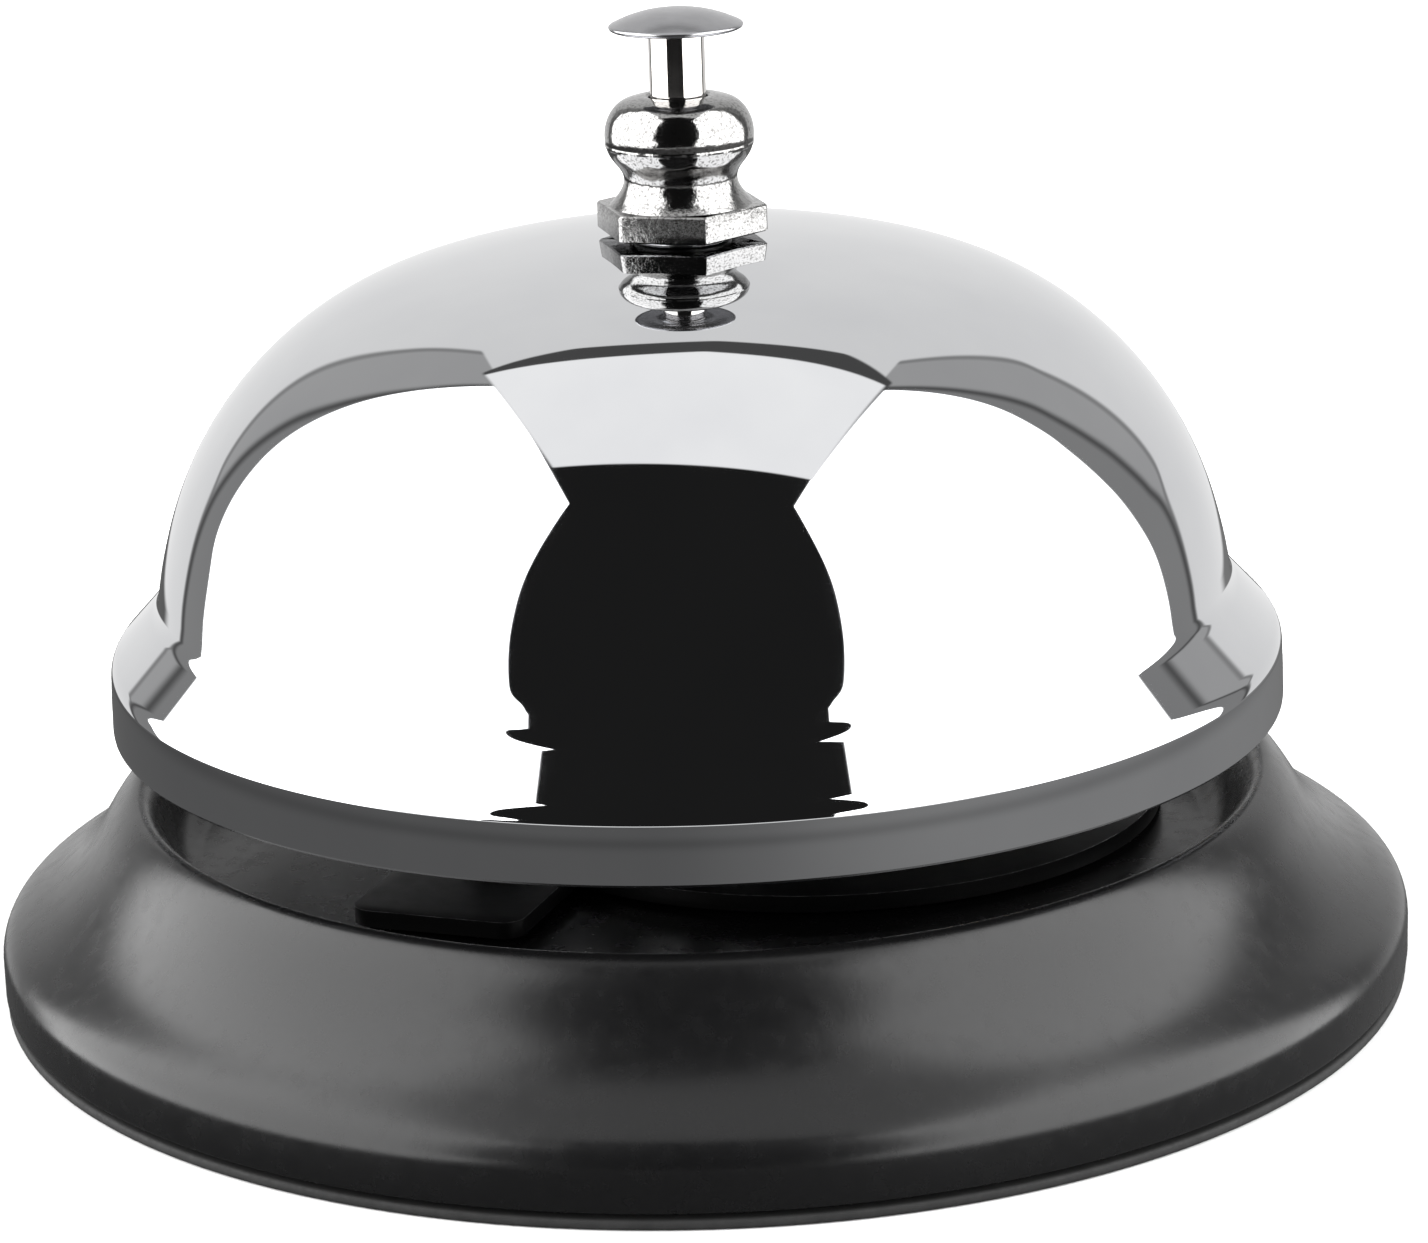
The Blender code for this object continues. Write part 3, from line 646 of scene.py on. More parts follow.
CHROME = Chrome()
ROD_PLATE = Chrome("rod_plate", (0.6, 0.585, 0.57), (0.55, 0.53, 0.51), (0.03, 0.06))
CASTING = CastPlate()
SATIN_CAP = TurnedMetal("satin_cap", (0.34, 0.34, 0.35), (0.29, 0.29, 0.3), (0.2, 0.26), 0.09, 0.0006)
COATING = PowderCoat()
# The plate's up-facing broken edges get a light bare colour, standing for wear and a painted edge highlight.
PLATE_COATING = PowderCoat(
    "plate_black_coat", sheen=(0.3, 0.38), peel=0.5, depth=0.001, gloss=0.12, edge_wear_and_highlight=0.8
)
RIVET_BLACK = PowderCoat("rivet_black_coat", (0.012, 0.012, 0.012), (0.02, 0.02, 0.02), (0.3, 0.4))
RUBBER = Dull("foot_rubber_black", (0.008, 0.008, 0.008), (0.014, 0.014, 0.014))
FIBRE = Dull("red_brown_fibre", (0.2, 0.055, 0.03), (0.11, 0.035, 0.022), 0.18)
POST_STEEL = TurnedMetal("turned_post_steel", (0.56, 0.56, 0.57), (0.48, 0.48, 0.49))
ZINC = TurnedMetal("yellow_zinc", (0.56, 0.53, 0.44), (0.44, 0.43, 0.4), (0.28, 0.42), 0.2)
SEAT_STEEL = TurnedMetal("seat_steel_plain", (0.5, 0.5, 0.51), (0.42, 0.42, 0.43))
CLIP_STEEL = TurnedMetal("blued_clip_steel", (0.16, 0.17, 0.2), (0.1, 0.11, 0.13), (0.26, 0.38))
SPRING_WIRE = TurnedMetal("spring_wire", (0.44, 0.43, 0.41), (0.33, 0.32, 0.31), (0.2, 0.34))
LEVER_STEEL = TurnedMetal("lever_zinc_steel", (0.5, 0.5, 0.49), (0.38, 0.38, 0.38), (0.28, 0.4), 0.3)
BRASS = TurnedMetal("hammer_brass_turned", (0.68, 0.5, 0.22), (0.56, 0.4, 0.17), (0.2, 0.32))


# ---------------------------------------------------------------------------------------------------------
# Fitting pieces to the frame
# ---------------------------------------------------------------------------------------------------------


@dataclass
class Assembly:
    """A group of pieces on one moving body."""

    body: Body

    def fit(self, piece: bpy.types.Object, node: str, finish: Any, slot: str) -> bpy.types.Object:
        """Dresses a finished piece and puts it in a CAD node's stead.

        Args:
            piece: The finished piece.
            node: The CAD node that it stands for.
            finish: The finish that it wears.
            slot: The record's material slot; not used.

        Returns:
            The same piece.
        """
        piece.data.materials.clear()
        piece.data.materials.append(finish.material())
        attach(piece, self.body.value)
        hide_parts(node)
        log.info("%s: %d faces, in place of %s", piece.name, len(piece.data.polygons), node)
        return piece


@dataclass
class Base(Assembly):
    """The pressed housing and the rubber ring under its skirt."""

    body: Body = Body.BASE
    radius: float = 42.5
    sheet: float = 1.0
    floor_top: float = 8.0
    floor_radius: float = 30.2
    hole: float = 3.2
    skirt_foot: float = 0.9
    skirt_top: float = 3.2
    ring_inner: float = 38.5
    ring_wall: float = 41.0
    ring_lip: float = 42.4
    ring_lip_height: float = 0.6
    ring_height: float = 3.2
    steps: int = 224

    def cove(self) -> list[Point]:
        """Outer face from the recess floor over the crest and down the cove to the skirt."""
        marks = [
            (self.floor_radius, self.floor_top),
            (31.4, 8.55),
            (32.35, 10.4),
            (33.0, 11.75),
            (33.85, 12.42),
            (34.75, 11.9),
            (36.6, 9.3),
            (39.6, 6.25),
            (41.3, 5.15),
            (42.2, 4.3),
            (self.radius, self.skirt_top),
        ]
        return fair_curve(marks, start=(1.0, 0.0), end=(0.0, -1.0), spacing=0.22)

    def housing(self) -> bpy.types.Object:
        """Turns the housing from one closed section of even sheet."""
        outside = self.cove()
        inside = [
            (radius, height)
            for radius, height in wall_inside(outside, self.sheet)
            if self.floor_radius <= radius
        ]
        hem = rounded(
            [
                (self.radius, self.skirt_top - 0.3),
                (self.radius, self.skirt_foot),
                (self.radius - self.sheet, self.skirt_foot),
                (self.radius - self.sheet, self.skirt_top - 0.6),
            ],
            0.35,
        )
        hem = [point for point in hem if point[1] < self.skirt_foot + 0.6]
        below = self.floor_top - self.sheet
        section = [(self.hole, self.floor_top)] + outside + hem + list(reversed(inside))
        return turn("base_housing", section + [(self.hole, below)], self.steps, closed=True)

    def foot(self) -> bpy.types.Object:
        """Turns the rubber ring, with softened corners and a flat underside."""
        corners = [
            (self.ring_wall, self.ring_height),
            (self.ring_wall, self.ring_lip_height),
            (self.ring_lip, self.ring_lip_height),
            (self.ring_lip, 0.0),
            (self.ring_inner, 0.0),
            (self.ring_inner, self.ring_height),
        ]
        return turn("foot_rubber_ring", rounded(corners, 0.25), self.steps, closed=True)

    def build(self) -> None:
        """Models and fits the base's pieces."""
        self.fit(self.housing(), "base_shell", COATING, "base_black")
        self.fit(self.foot(), "foot_ring", RUBBER, "foot_rubber")


@dataclass
class StrikerPlate(Assembly):
    """The stamped plate in the recess, its pivot ears and its three rivets."""

    body: Body = Body.BASE
    low: float = 8.3
    thickness: float = 1.0
    centre: Point = (7.2, 4.2)
    radius: float = 21.0
    tab_edge: Point = (-15.6, -18.1)
    tab_width: float = 10.5
    tab_turn: float = -20.0
    tab_corner: float = 1.3
    tab_length: float = 16.0
    hole: float = 3.2
    ear_inner: float = 2.8
    ear_thickness: float = 1.0
    ear_radius: float = 2.3
    rivet_shank: float = 1.3
    rivet_head: float = 2.5
    rivet_rise: float = 0.8
    rivet_foot: float = 6.7
    broken_edge: float = 0.16

    def tab(self) -> bpy.types.Object:
        """Makes the square tab, with its two outer corners rounded."""
        deselect_all()
        bpy.ops.mesh.primitive_cube_add(size=MM)
        tab = named("tab_form")
        half_length = 0.5 * self.tab_length
        with editing(tab):
            bpy.ops.mesh.select_all(action="SELECT")
            bpy.ops.transform.resize(value=(self.tab_width, self.tab_length, self.thickness))
            pick(tab, lambda at: at.y < -0.4 * self.tab_length * MM and abs(at.z) < TINY, Pick.EDGES)
            mesh = bmesh.from_edit_mesh(tab.data)
            for edge in mesh.edges:
                upright = abs((edge.verts[0].co - edge.verts[1].co).z) > 0.5 * MM
                edge.select_set(edge.select and upright and edge.verts[0].co.y < 0.0)
            bmesh.update_edit_mesh(tab.data)
            bpy.ops.mesh.bevel(offset=self.tab_corner * MM, segments=8)
        turned = Matrix.Rotation(math.radians(self.tab_turn), 4, "Z")
        edge_place = Vector((*self.tab_edge, self.low + 0.5 * self.thickness)) * MM
        inwards = Matrix.Translation((0.0, half_length * MM, 0.0))
        return place(tab, Matrix.Translation(edge_place) @ turned @ inwards)

    def ear(self, side: float, pivot: "Pivot") -> bpy.types.Object:
        """Halves an upright disc and draws its flat side down to the plate.

        Args:
            side: -1 or 1, for the two sides of the lever.
            pivot: The lever's pivot.

        Returns:
            The ear, in its place, ready to be joined to the plate.
        """
        deselect_all()
        bpy.ops.mesh.primitive_cylinder_add(
            vertices=64,
            radius=self.ear_radius * MM,
            depth=self.ear_thickness * MM,
            rotation=(math.radians(90.0), 0.0, 0.0),
        )
        ear = named("ear_form")
        settle(ear)
        with editing(ear):
            bpy.ops.mesh.select_all(action="SELECT")
            bpy.ops.mesh.bisect(plane_co=(0, 0, 0), plane_no=(0, 0, 1), use_fill=True, clear_inner=True)
            pick(ear, lambda at: abs(at.z) < TINY, Pick.FACES)
            drop = (self.low + 0.4 * self.thickness - pivot.height) * MM
            bpy.ops.mesh.extrude_region_move(TRANSFORM_OT_translate={"value": (0.0, 0.0, drop)})
            close_up()
        middle = side * (self.ear_inner + 0.5 * self.ear_thickness) * MM
        return place(ear, pivot.matrix() @ Matrix.Translation((0.0, middle, 0.0)))

    def stamping(self, pivot: "Pivot") -> bpy.types.Object:
        """Joins the disc, tab and ears, drills the post's hole and breaks the edges."""
        deselect_all()
        middle = Vector((*self.centre, self.low + 0.5 * self.thickness)) * MM
        bpy.ops.mesh.primitive_cylinder_add(
            vertices=180, radius=self.radius * MM, depth=self.thickness * MM, location=middle
        )
        plate = named("striker_plate_stamping")
        settle(plate)
        cut(plate, self.tab(), Cut.JOIN)
        for side in (-1.0, 1.0):
            cut(plate, self.ear(side, pivot), Cut.JOIN)
        drill = rod_form("post_drill", self.hole, 6.0, Matrix.Translation((0.0, 0.0, self.low * MM)))
        cut(plate, drill, Cut.DRILL)
        return soften(plate, self.broken_edge, segments=3)

    def rivet(self, node: str) -> bpy.types.Object:
        """Turns one rivet: a domed head, a shank and the upset tail under the floor."""
        low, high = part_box(node)
        top = self.low + self.thickness
        head, foot = self.rivet_head, self.rivet_foot
        crown = fair_curve(
            [(0.0, top + self.rivet_rise + 0.3), (0.6 * head, top + 0.86), (0.95 * head, top + 0.35)],
            start=(1.0, 0.0),
            spacing=0.15,
        )
        section = crown + [(head, top + 0.12), (0.97 * head, top), (self.rivet_shank, top)]
        section += [(self.rivet_shank, foot), (0.82 * head, foot), (0.85 * head, foot - 0.2)]
        section += [(0.7 * head, foot - 0.6), (0.0, foot - 0.6)]
        rivet = turn(node + "_domed", section, 64, angle=40.0)
        middle = (low + high) / 2.0
        return place(rivet, Matrix.Translation((middle.x, middle.y, 0.0)))

    def build(self, pivot: "Pivot") -> None:
        """Models and fits the plate and its rivets."""
        self.fit(self.stamping(pivot), "striker_plate", PLATE_COATING, "plate_black")
        for node in ("plate_rivet_tab", "plate_rivet_side", "plate_rivet_rear"):
            self.fit(self.rivet(node), node, RIVET_BLACK, "rivet_steel")


@dataclass
class Post(Assembly):
    """The hollow post, its lower washer and lock nut, and the seat for the gong."""

    body: Body = Body.BASE
    bottom: float = 3.8
    top: float = 46.7
    body_bottom: float = 9.6
    shoulder: float = 41.9
    radius: float = 4.0
    thread_radius: float = 2.9
    chamber: float = 2.2
    guide: float = 1.2
    lower_guide_top: float = 10.3
    upper_guide: Point = (20.0, 24.0)
    window_width: float = 2.8
    window: Point = (10.4, 17.0)
    hex_radius: float = 5.1
    hex_span: Point = (3.4, 5.6)
    washer_inner: float = 3.1
    lower_washer: Ring = (7.0, 5.9, 6.7)
    gong_seat: Ring = (6.0, 42.15, 42.85)
    fibre_pad: Ring = (5.4, 43.05, 43.55)

    def column(self, pivot: "Pivot") -> bpy.types.Object:
        """Turns the post, bores it and mills the window that the lever's finger passes."""
        section = list(reversed(thread(self.thread_radius, self.shoulder + 0.3, self.top - 0.4)))
        section = [(self.thread_radius - 0.5, self.top)] + section
        section += [(self.thread_radius - 0.3, self.shoulder), (self.radius - 0.2, self.shoulder)]
        section += [(self.radius, self.shoulder - 0.2), (self.radius, self.body_bottom + 0.2)]
        section += [(self.radius - 0.2, self.body_bottom), (self.thread_radius - 0.3, self.body_bottom)]
        section += list(reversed(thread(self.thread_radius, self.bottom + 0.3, self.body_bottom - 0.3)))
        section += [(self.thread_radius - 0.5, self.bottom), (self.guide, self.bottom)]
        section += [(self.guide, self.lower_guide_top), (self.chamber, self.lower_guide_top)]
        section += [(self.chamber, self.upper_guide[0]), (self.guide, self.upper_guide[0])]
        section += [(self.guide, self.upper_guide[1]), (self.chamber, self.upper_guide[1])]
        section += [(self.chamber, self.top)]
        post = turn("hollow_post", section, 72, closed=True)
        deselect_all()
        bpy.ops.mesh.primitive_cube_add(size=MM)
        window = named("window_form")
        low, high = self.window
        with editing(window):
            bpy.ops.mesh.select_all(action="SELECT")
            bpy.ops.transform.resize(value=(2.0 * self.radius, self.window_width, high - low))
            bpy.ops.transform.translate(value=(self.radius * MM, 0.0, 0.5 * (low + high) * MM))
        cut(post, place(window, pivot.turned()), Cut.DRILL)
        return smooth(post)

    def washer(self, name: str, ring: Ring) -> bpy.types.Object:
        """Turns a flat washer with broken edges, from its outer radius, its underside and its top."""
        inner = self.washer_inner
        outer, low, high = ring
        corners = [(outer, high), (outer, low), (inner, low), (inner, high)]
        return turn(name, rounded(corners, 0.12, 3), 96, closed=True)

    def lock_nut(self) -> bpy.types.Object:
        """Draws up a hexagon and a bore, and bridges them above and below."""
        deselect_all()
        low, high = self.hex_span
        rise = {"value": (0.0, 0.0, (high - low) * MM)}
        bpy.ops.mesh.primitive_circle_add(
            vertices=48, radius=self.washer_inner * MM, location=(0, 0, low * MM), enter_editmode=True
        )
        nut = named("lock_nut_hexagon")
        bpy.ops.mesh.extrude_edges_move(TRANSFORM_OT_translate=rise)
        bpy.ops.mesh.primitive_circle_add(vertices=6, radius=self.hex_radius * MM, location=(0, 0, low * MM))
        bpy.ops.mesh.subdivide(number_cuts=7)
        bpy.ops.mesh.extrude_edges_move(TRANSFORM_OT_translate=rise)
        for end in (0.0, (high - low) * MM):
            pick(nut, lambda at: abs(at.z - end) < TINY)
            bpy.ops.mesh.bridge_edge_loops()
        close_up()
        bpy.ops.object.mode_set(mode="OBJECT")
        settle(nut)
        return soften(nut, 0.18)

    def build(self, pivot: "Pivot") -> None:
        """Models and fits the post and what is threaded on it."""
        self.fit(self.column(pivot), "post", POST_STEEL, "post_steel")
        washer = self.washer("post_washer_zinc", self.lower_washer)
        self.fit(washer, "post_washer", ZINC, "washer_zinc")
        self.fit(self.lock_nut(), "post_lock_nut", ZINC, "lock_nut_zinc")
        seat = self.washer("seat_washer_steel", self.gong_seat)
        self.fit(seat, "seat_washer", SEAT_STEEL, "seat_steel")
        fibre = self.washer("fibre_ring", self.fibre_pad)
        self.fit(fibre, "fibre_washer", FIBRE, "fibre_red_brown")


@dataclass
class Gong(Assembly):
    """The chromed bell."""

    body: Body = Body.BASE
    wall: float = 0.9
    steps: int = 240
    spacing: float = 0.6
    marks: tuple[Point, ...] = (
        (3.2, 44.7),
        (9.0, 44.3),
        (14.5, 43.35),
        (19.5, 41.7),
        (23.6, 39.2),
        (26.9, 36.0),
        (29.3, 32.45),
        (30.8, 28.95),
        (31.4, 26.85),
        (31.78, 25.06),
    )
    waist_way: Point = (0.165, -0.986)
    flare: tuple[Point, ...] = ((32.0, 23.72), (34.95, 20.56))
    flare_rounding: float = 0.62
    flare_steps: int = 12
    band: tuple[Point, ...] = ((35.02, 18.6), (35.04, 17.4), (35.05, 16.9))
    lip: tuple[Point, ...] = ((-0.02, -0.2), (-0.15, -0.36), (-0.4, -0.4), (-0.65, -0.36), (-0.82, -0.2))

    def shell(self) -> bpy.types.Object:
        """Turns the gong from its outer face, an even wall and a rounded lower edge."""
        steps = self.flare_steps
        crown = fair_curve(self.marks, start=(1.0, -0.02), end=self.waist_way, spacing=self.spacing)
        corners = [crown[-1], *self.flare, self.band[-1]]
        flare = rounded(corners, self.flare_rounding, steps)[steps + 1 : -steps - 1]
        outside = crown + flare + list(self.band)
        inside = wall_inside(outside, self.wall)
        inside[0] = (outside[0][0], outside[0][1] - self.wall)
        radius, height = outside[-1]
        lip = [(radius + out, height + rise) for out, rise in self.lip]
        return turn("gong_chromed", outside + lip + list(reversed(inside)), self.steps, closed=True)

    def build(self) -> None:
        """Models and fits the gong."""
        self.fit(self.shell(), "bell_dome", CHROME, "bell_chrome")


@dataclass
class FinialNut(Assembly):
    """The die-cast nut: a hexagon, a neck and a flat-topped ball with the mould's parting line."""

    body: Body = Body.BASE
    hex_radius: float = 5.09
    hex_turn: float = 45.4
    hex_corner: float = 0.22
    hex_rim: float = 0.09
    bottom: float = 45.0
    hex_top: float = 46.6
    thread_radius: float = 3.1
    thread_top: float = 47.0
    bore: float = 1.75
    parting: float = 50.1
    parting_rise: float = 0.05
    parting_half_width: float = 0.14
    sharp_above: float = 11.0
    steps: int = 192
    marks: tuple[Point, ...] = (
        (4.22, 46.6),
        (3.88, 46.95),
        (3.55, 47.4),
        (3.35, 47.9),
        (3.35, 48.3),
        (3.6, 48.82),
        (4.05, 49.42),
        (4.3, 50.0),
        (4.38, 50.6),
        (4.3, 51.3),
        (4.0, 52.0),
        (3.4, 52.6),
        (2.5, 52.88),
    )

    def section(self) -> list[Point]:
        """Half section from the hexagon's shoulder over the ball and down the bore."""
        outside = fair_curve(self.marks, spacing=0.1)
        ridged = []
        for radius, height in outside:
            off = abs(height - self.parting)
            share = max(0.0, 1.0 - off / self.parting_half_width)
            rise = self.parting_rise * share if radius > 4.0 else 0.0
            ridged.append((radius + rise, height))
        lip = [(2.3, 52.93), (2.1, 52.95), (1.9, 52.95), (self.bore, 52.85), (self.bore, self.thread_top)]
        return ridged + lip + [(self.thread_radius, self.thread_top - 0.5), (self.thread_radius, self.bottom)]

    def casting(self) -> bpy.types.Object:
        """Spins the body, draws up the hexagon round it and bridges the two."""
        nut = draw_outline("finial_nut_cast", self.section(), closed=False)
        bpy.ops.mesh.spin(steps=self.steps, angle=FULL_TURN, center=(0, 0, 0), axis=(0, 0, 1))
        close_up()
        bpy.ops.object.mode_set(mode="OBJECT")
        settle(nut)
        with editing(nut):
            bpy.ops.mesh.primitive_circle_add(
                vertices=6,
                radius=self.hex_radius * MM,
                location=(0.0, 0.0, self.bottom * MM),
                rotation=(0.0, 0.0, math.radians(self.hex_turn - 90.0)),
            )
            bpy.ops.mesh.bevel(offset=self.hex_corner * MM, segments=5, affect="VERTICES")
            rim = self.hex_rim
            for rise, grow in ((rim, 1.02), (self.hex_top - self.bottom - 2.0 * rim, 1.0), (rim, 0.98)):
                bpy.ops.mesh.extrude_edges_move(TRANSFORM_OT_translate={"value": (0.0, 0.0, rise * MM)})
                bpy.ops.transform.resize(value=(grow, grow, 1.0), center_override=(0.0, 0.0, 0.0))
            for height in (self.bottom, self.hex_top):
                pick(nut, lambda at: abs(at.z - height * MM) < TINY and at.xy.length > 2.9 * MM)
                bpy.ops.mesh.bridge_edge_loops()
            close_up()
            pick(nut, lambda at: abs(at.z - self.parting * MM) < 0.07 * MM and at.xy.length > 4.2 * MM)
            bpy.ops.transform.vertex_random(offset=0.02 * MM, seed=7)
        return smooth(nut, self.sharp_above)

    def build(self) -> None:
        """Models and fits the nut."""
        self.fit(self.casting(), "finial_nut", CASTING, "nut_plating")


@dataclass
class Plunger(Assembly):
    """The push button, its rod and the clip near the rod's tip."""

    body: Body = Body.PLUNGER
    crown: tuple[Point, ...] = ((0.0, 58.0), (1.3, 57.93), (2.4, 57.7), (3.2, 57.42), (3.82, 57.14))
    rim: tuple[Point, ...] = ((3.82, 57.14), (3.93, 57.02), (3.86, 56.88), (3.55, 56.82))
    socket: float = 1.68
    socket_top: float = 57.5
    rod_radius: float = 1.65
    rod_top: float = 57.2
    rod_shoulder: float = 36.0
    thin: float = 1.1
    groove: float = 0.8
    tip: float = 16.0
    clip_span: Point = (19.0, 19.6)
    clip_radii: Point = (0.9, 1.9)
    clip_mouth: float = 70.0

    def cap(self) -> bpy.types.Object:
        """Turns the low domed cap, with a rolled rim and a hollow underside."""
        section = fair_curve(self.crown, start=(1.0, 0.0), spacing=0.12)
        section += fair_curve(self.rim, spacing=0.05)[1:]
        section += [(3.2, 56.87), (2.6, 57.0), (2.1, 57.03), (1.9, 56.93), (self.socket, 56.85)]
        section += [(self.socket, self.socket_top), (0.0, self.socket_top)]
        return turn("push_cap", section, 128, angle=40.0)

    def rod(self) -> bpy.types.Object:
        """Turns the stepped rod with its clip groove and rounded tip."""
        low, high = self.clip_span
        section = [(0.0, self.rod_top), (self.rod_radius - 0.2, self.rod_top)]
        section += [(self.rod_radius, self.rod_top - 0.2), (self.rod_radius, self.rod_shoulder + 0.2)]
        section += [(self.rod_radius - 0.2, self.rod_shoulder), (self.thin, self.rod_shoulder)]
        section += [(self.thin, high + 0.1), (self.groove, high + 0.1), (self.groove, low - 0.1)]
        section += [(self.thin, low - 0.1), (self.thin, self.tip + 0.7)]
        nose = [(self.thin, self.tip + 0.7), (0.85, self.tip + 0.2), (0.0, self.tip)]
        return turn("push_rod", section + fair_curve(nose, spacing=0.15)[1:], 96)

    def build(self) -> None:
        """Models and fits the button, rod and clip."""
        self.fit(self.cap(), "plunger_cap", SATIN_CAP, "cap_chrome")
        self.fit(self.rod(), "plunger_rod", ROD_PLATE, "rod_steel")
        clip = open_ring("rod_clip_ring", *self.clip_radii, *self.clip_span, self.clip_mouth)
        self.fit(clip, "rod_clip", CLIP_STEEL, "clip_steel")


def open_ring(
    name: str, inner: float, outer: float, low: float, high: float, mouth: float
) -> bpy.types.Object:
    """Spins a small rectangle most of the way round, for a clip with an open mouth.

    Args:
        name: Name of the piece.
        inner: Inner radius in millimetres.
        outer: Outer radius in millimetres.
        low: Height of its underside.
        high: Height of its top.
        mouth: Angle of the opening, in degrees, centred on +X.

    Returns:
        The clip, round Z.
    """
    corners = [(inner, low), (outer, low), (outer, high), (inner, high)]
    clip = draw_outline(name, rounded(corners, 0.1, 2), closed=True)
    bpy.ops.mesh.edge_face_add()
    bpy.ops.mesh.spin(
        steps=40, angle=math.radians(360.0 - mouth), center=(0, 0, 0), axis=(0, 0, 1)
    )
    close_up()
    bpy.ops.object.mode_set(mode="OBJECT")
    settle(clip)
    return place(smooth(clip), Matrix.Rotation(math.radians(0.5 * mouth), 4, "Z"))


@dataclass
class ReturnSpring(Assembly):
    """The coil spring that lifts the button; it shortens as the button goes down."""

    body: Body = Body.BASE
    coil: float = 1.65
    wire: float = 0.24
    span: Point = (24.3, 35.7)
    turns: int = 8
    travel: float = 3.0

    def wind(self) -> bpy.types.Object:
        """Winds the wire's round section up the coil and closes its two ends."""
        deselect_all()
        bpy.ops.mesh.primitive_circle_add(
            vertices=12, radius=self.wire * MM, rotation=(math.radians(90.0), 0.0, 0.0)
        )
        spring = place(
            named("return_coil"),
            Matrix.Translation((self.coil * MM, 0.0, (self.span[0] + self.wire) * MM))
            @ Matrix.Rotation(math.radians(90.0), 4, "X"),
        )
        winding = spring.modifiers.new("Winding", "SCREW")
        winding.screw_offset = (self.span[1] - self.span[0] - 2.0 * self.wire) * MM / self.turns
        winding.iterations = self.turns
        winding.steps = winding.render_steps = 36
        bpy.ops.object.modifier_apply(modifier=winding.name)
        with editing(spring):
            bpy.ops.mesh.select_non_manifold()
            bpy.ops.mesh.fill_holes(sides=0)
            close_up()
        return smooth(spring, 50.0)

    def build(self) -> None:
        """Models and fits the spring, and gives it a mesh of its own."""
        spring = self.fit(self.wind(), "return_spring", SPRING_WIRE, "spring_steel")
        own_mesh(spring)


@dataclass(frozen=True)
class Pivot:
    """The lever's pivot: where it stands and which way the lever points."""

    reach: float = 9.0
    turn: float = 60.0
    height: float = 13.0

    def turned(self) -> Matrix:
        """Turn of the lever about the bell's axis."""
        return Matrix.Rotation(math.radians(self.turn), 4, "Z")

    def matrix(self) -> Matrix:
        """Lever axes: X outwards along the lever, Y along the pin, Z up, from the pin's middle."""
        return self.turned() @ Matrix.Translation((self.reach * MM, 0.0, self.height * MM))

    def along_pin(self) -> Matrix:
        """Axes of a piece turned about Z that lies along the pin."""
        return self.matrix() @ Matrix.Rotation(math.radians(90.0), 4, "X")


@dataclass
class HammerPin(Assembly):
    """The pivot pin and the clip on its end."""

    body: Body = Body.BASE
    radius: float = 0.8
    head: float = 1.5
    groove: float = 0.5
    face: float = 4.05
    clip_outer: float = 1.6
    clip_mouth: float = 70.0

    def pin(self) -> bpy.types.Object:
        """Turns the headed pin, lying along Z."""
        high = self.face + 0.5
        section = [(0.0, high + 0.6), (self.radius - 0.15, high + 0.6), (self.radius, high + 0.45)]
        section += [(self.radius, high + 0.1), (self.groove, high + 0.1), (self.groove, self.face - 0.1)]
        section += [(self.radius, self.face - 0.1), (self.radius, -self.face), (self.head, -self.face)]
        section += [(self.head, -self.face - 0.45), (0.8 * self.head, -self.face - 0.75)]
        return turn("hinge_pin", section + [(0.0, -self.face - 0.8)], 48)

    def build(self, pivot: Pivot) -> None:
        """Models and fits the pin and its clip."""
        self.fit(place(self.pin(), pivot.along_pin()), "pivot_pin", LEVER_STEEL, "pin_steel")
        clip = open_ring(
            "hinge_clip", self.groove + 0.12, self.clip_outer, self.face, self.face + 0.5, self.clip_mouth
        )
        self.fit(place(clip, pivot.along_pin()), "pin_clip", CLIP_STEEL, "clip_steel")


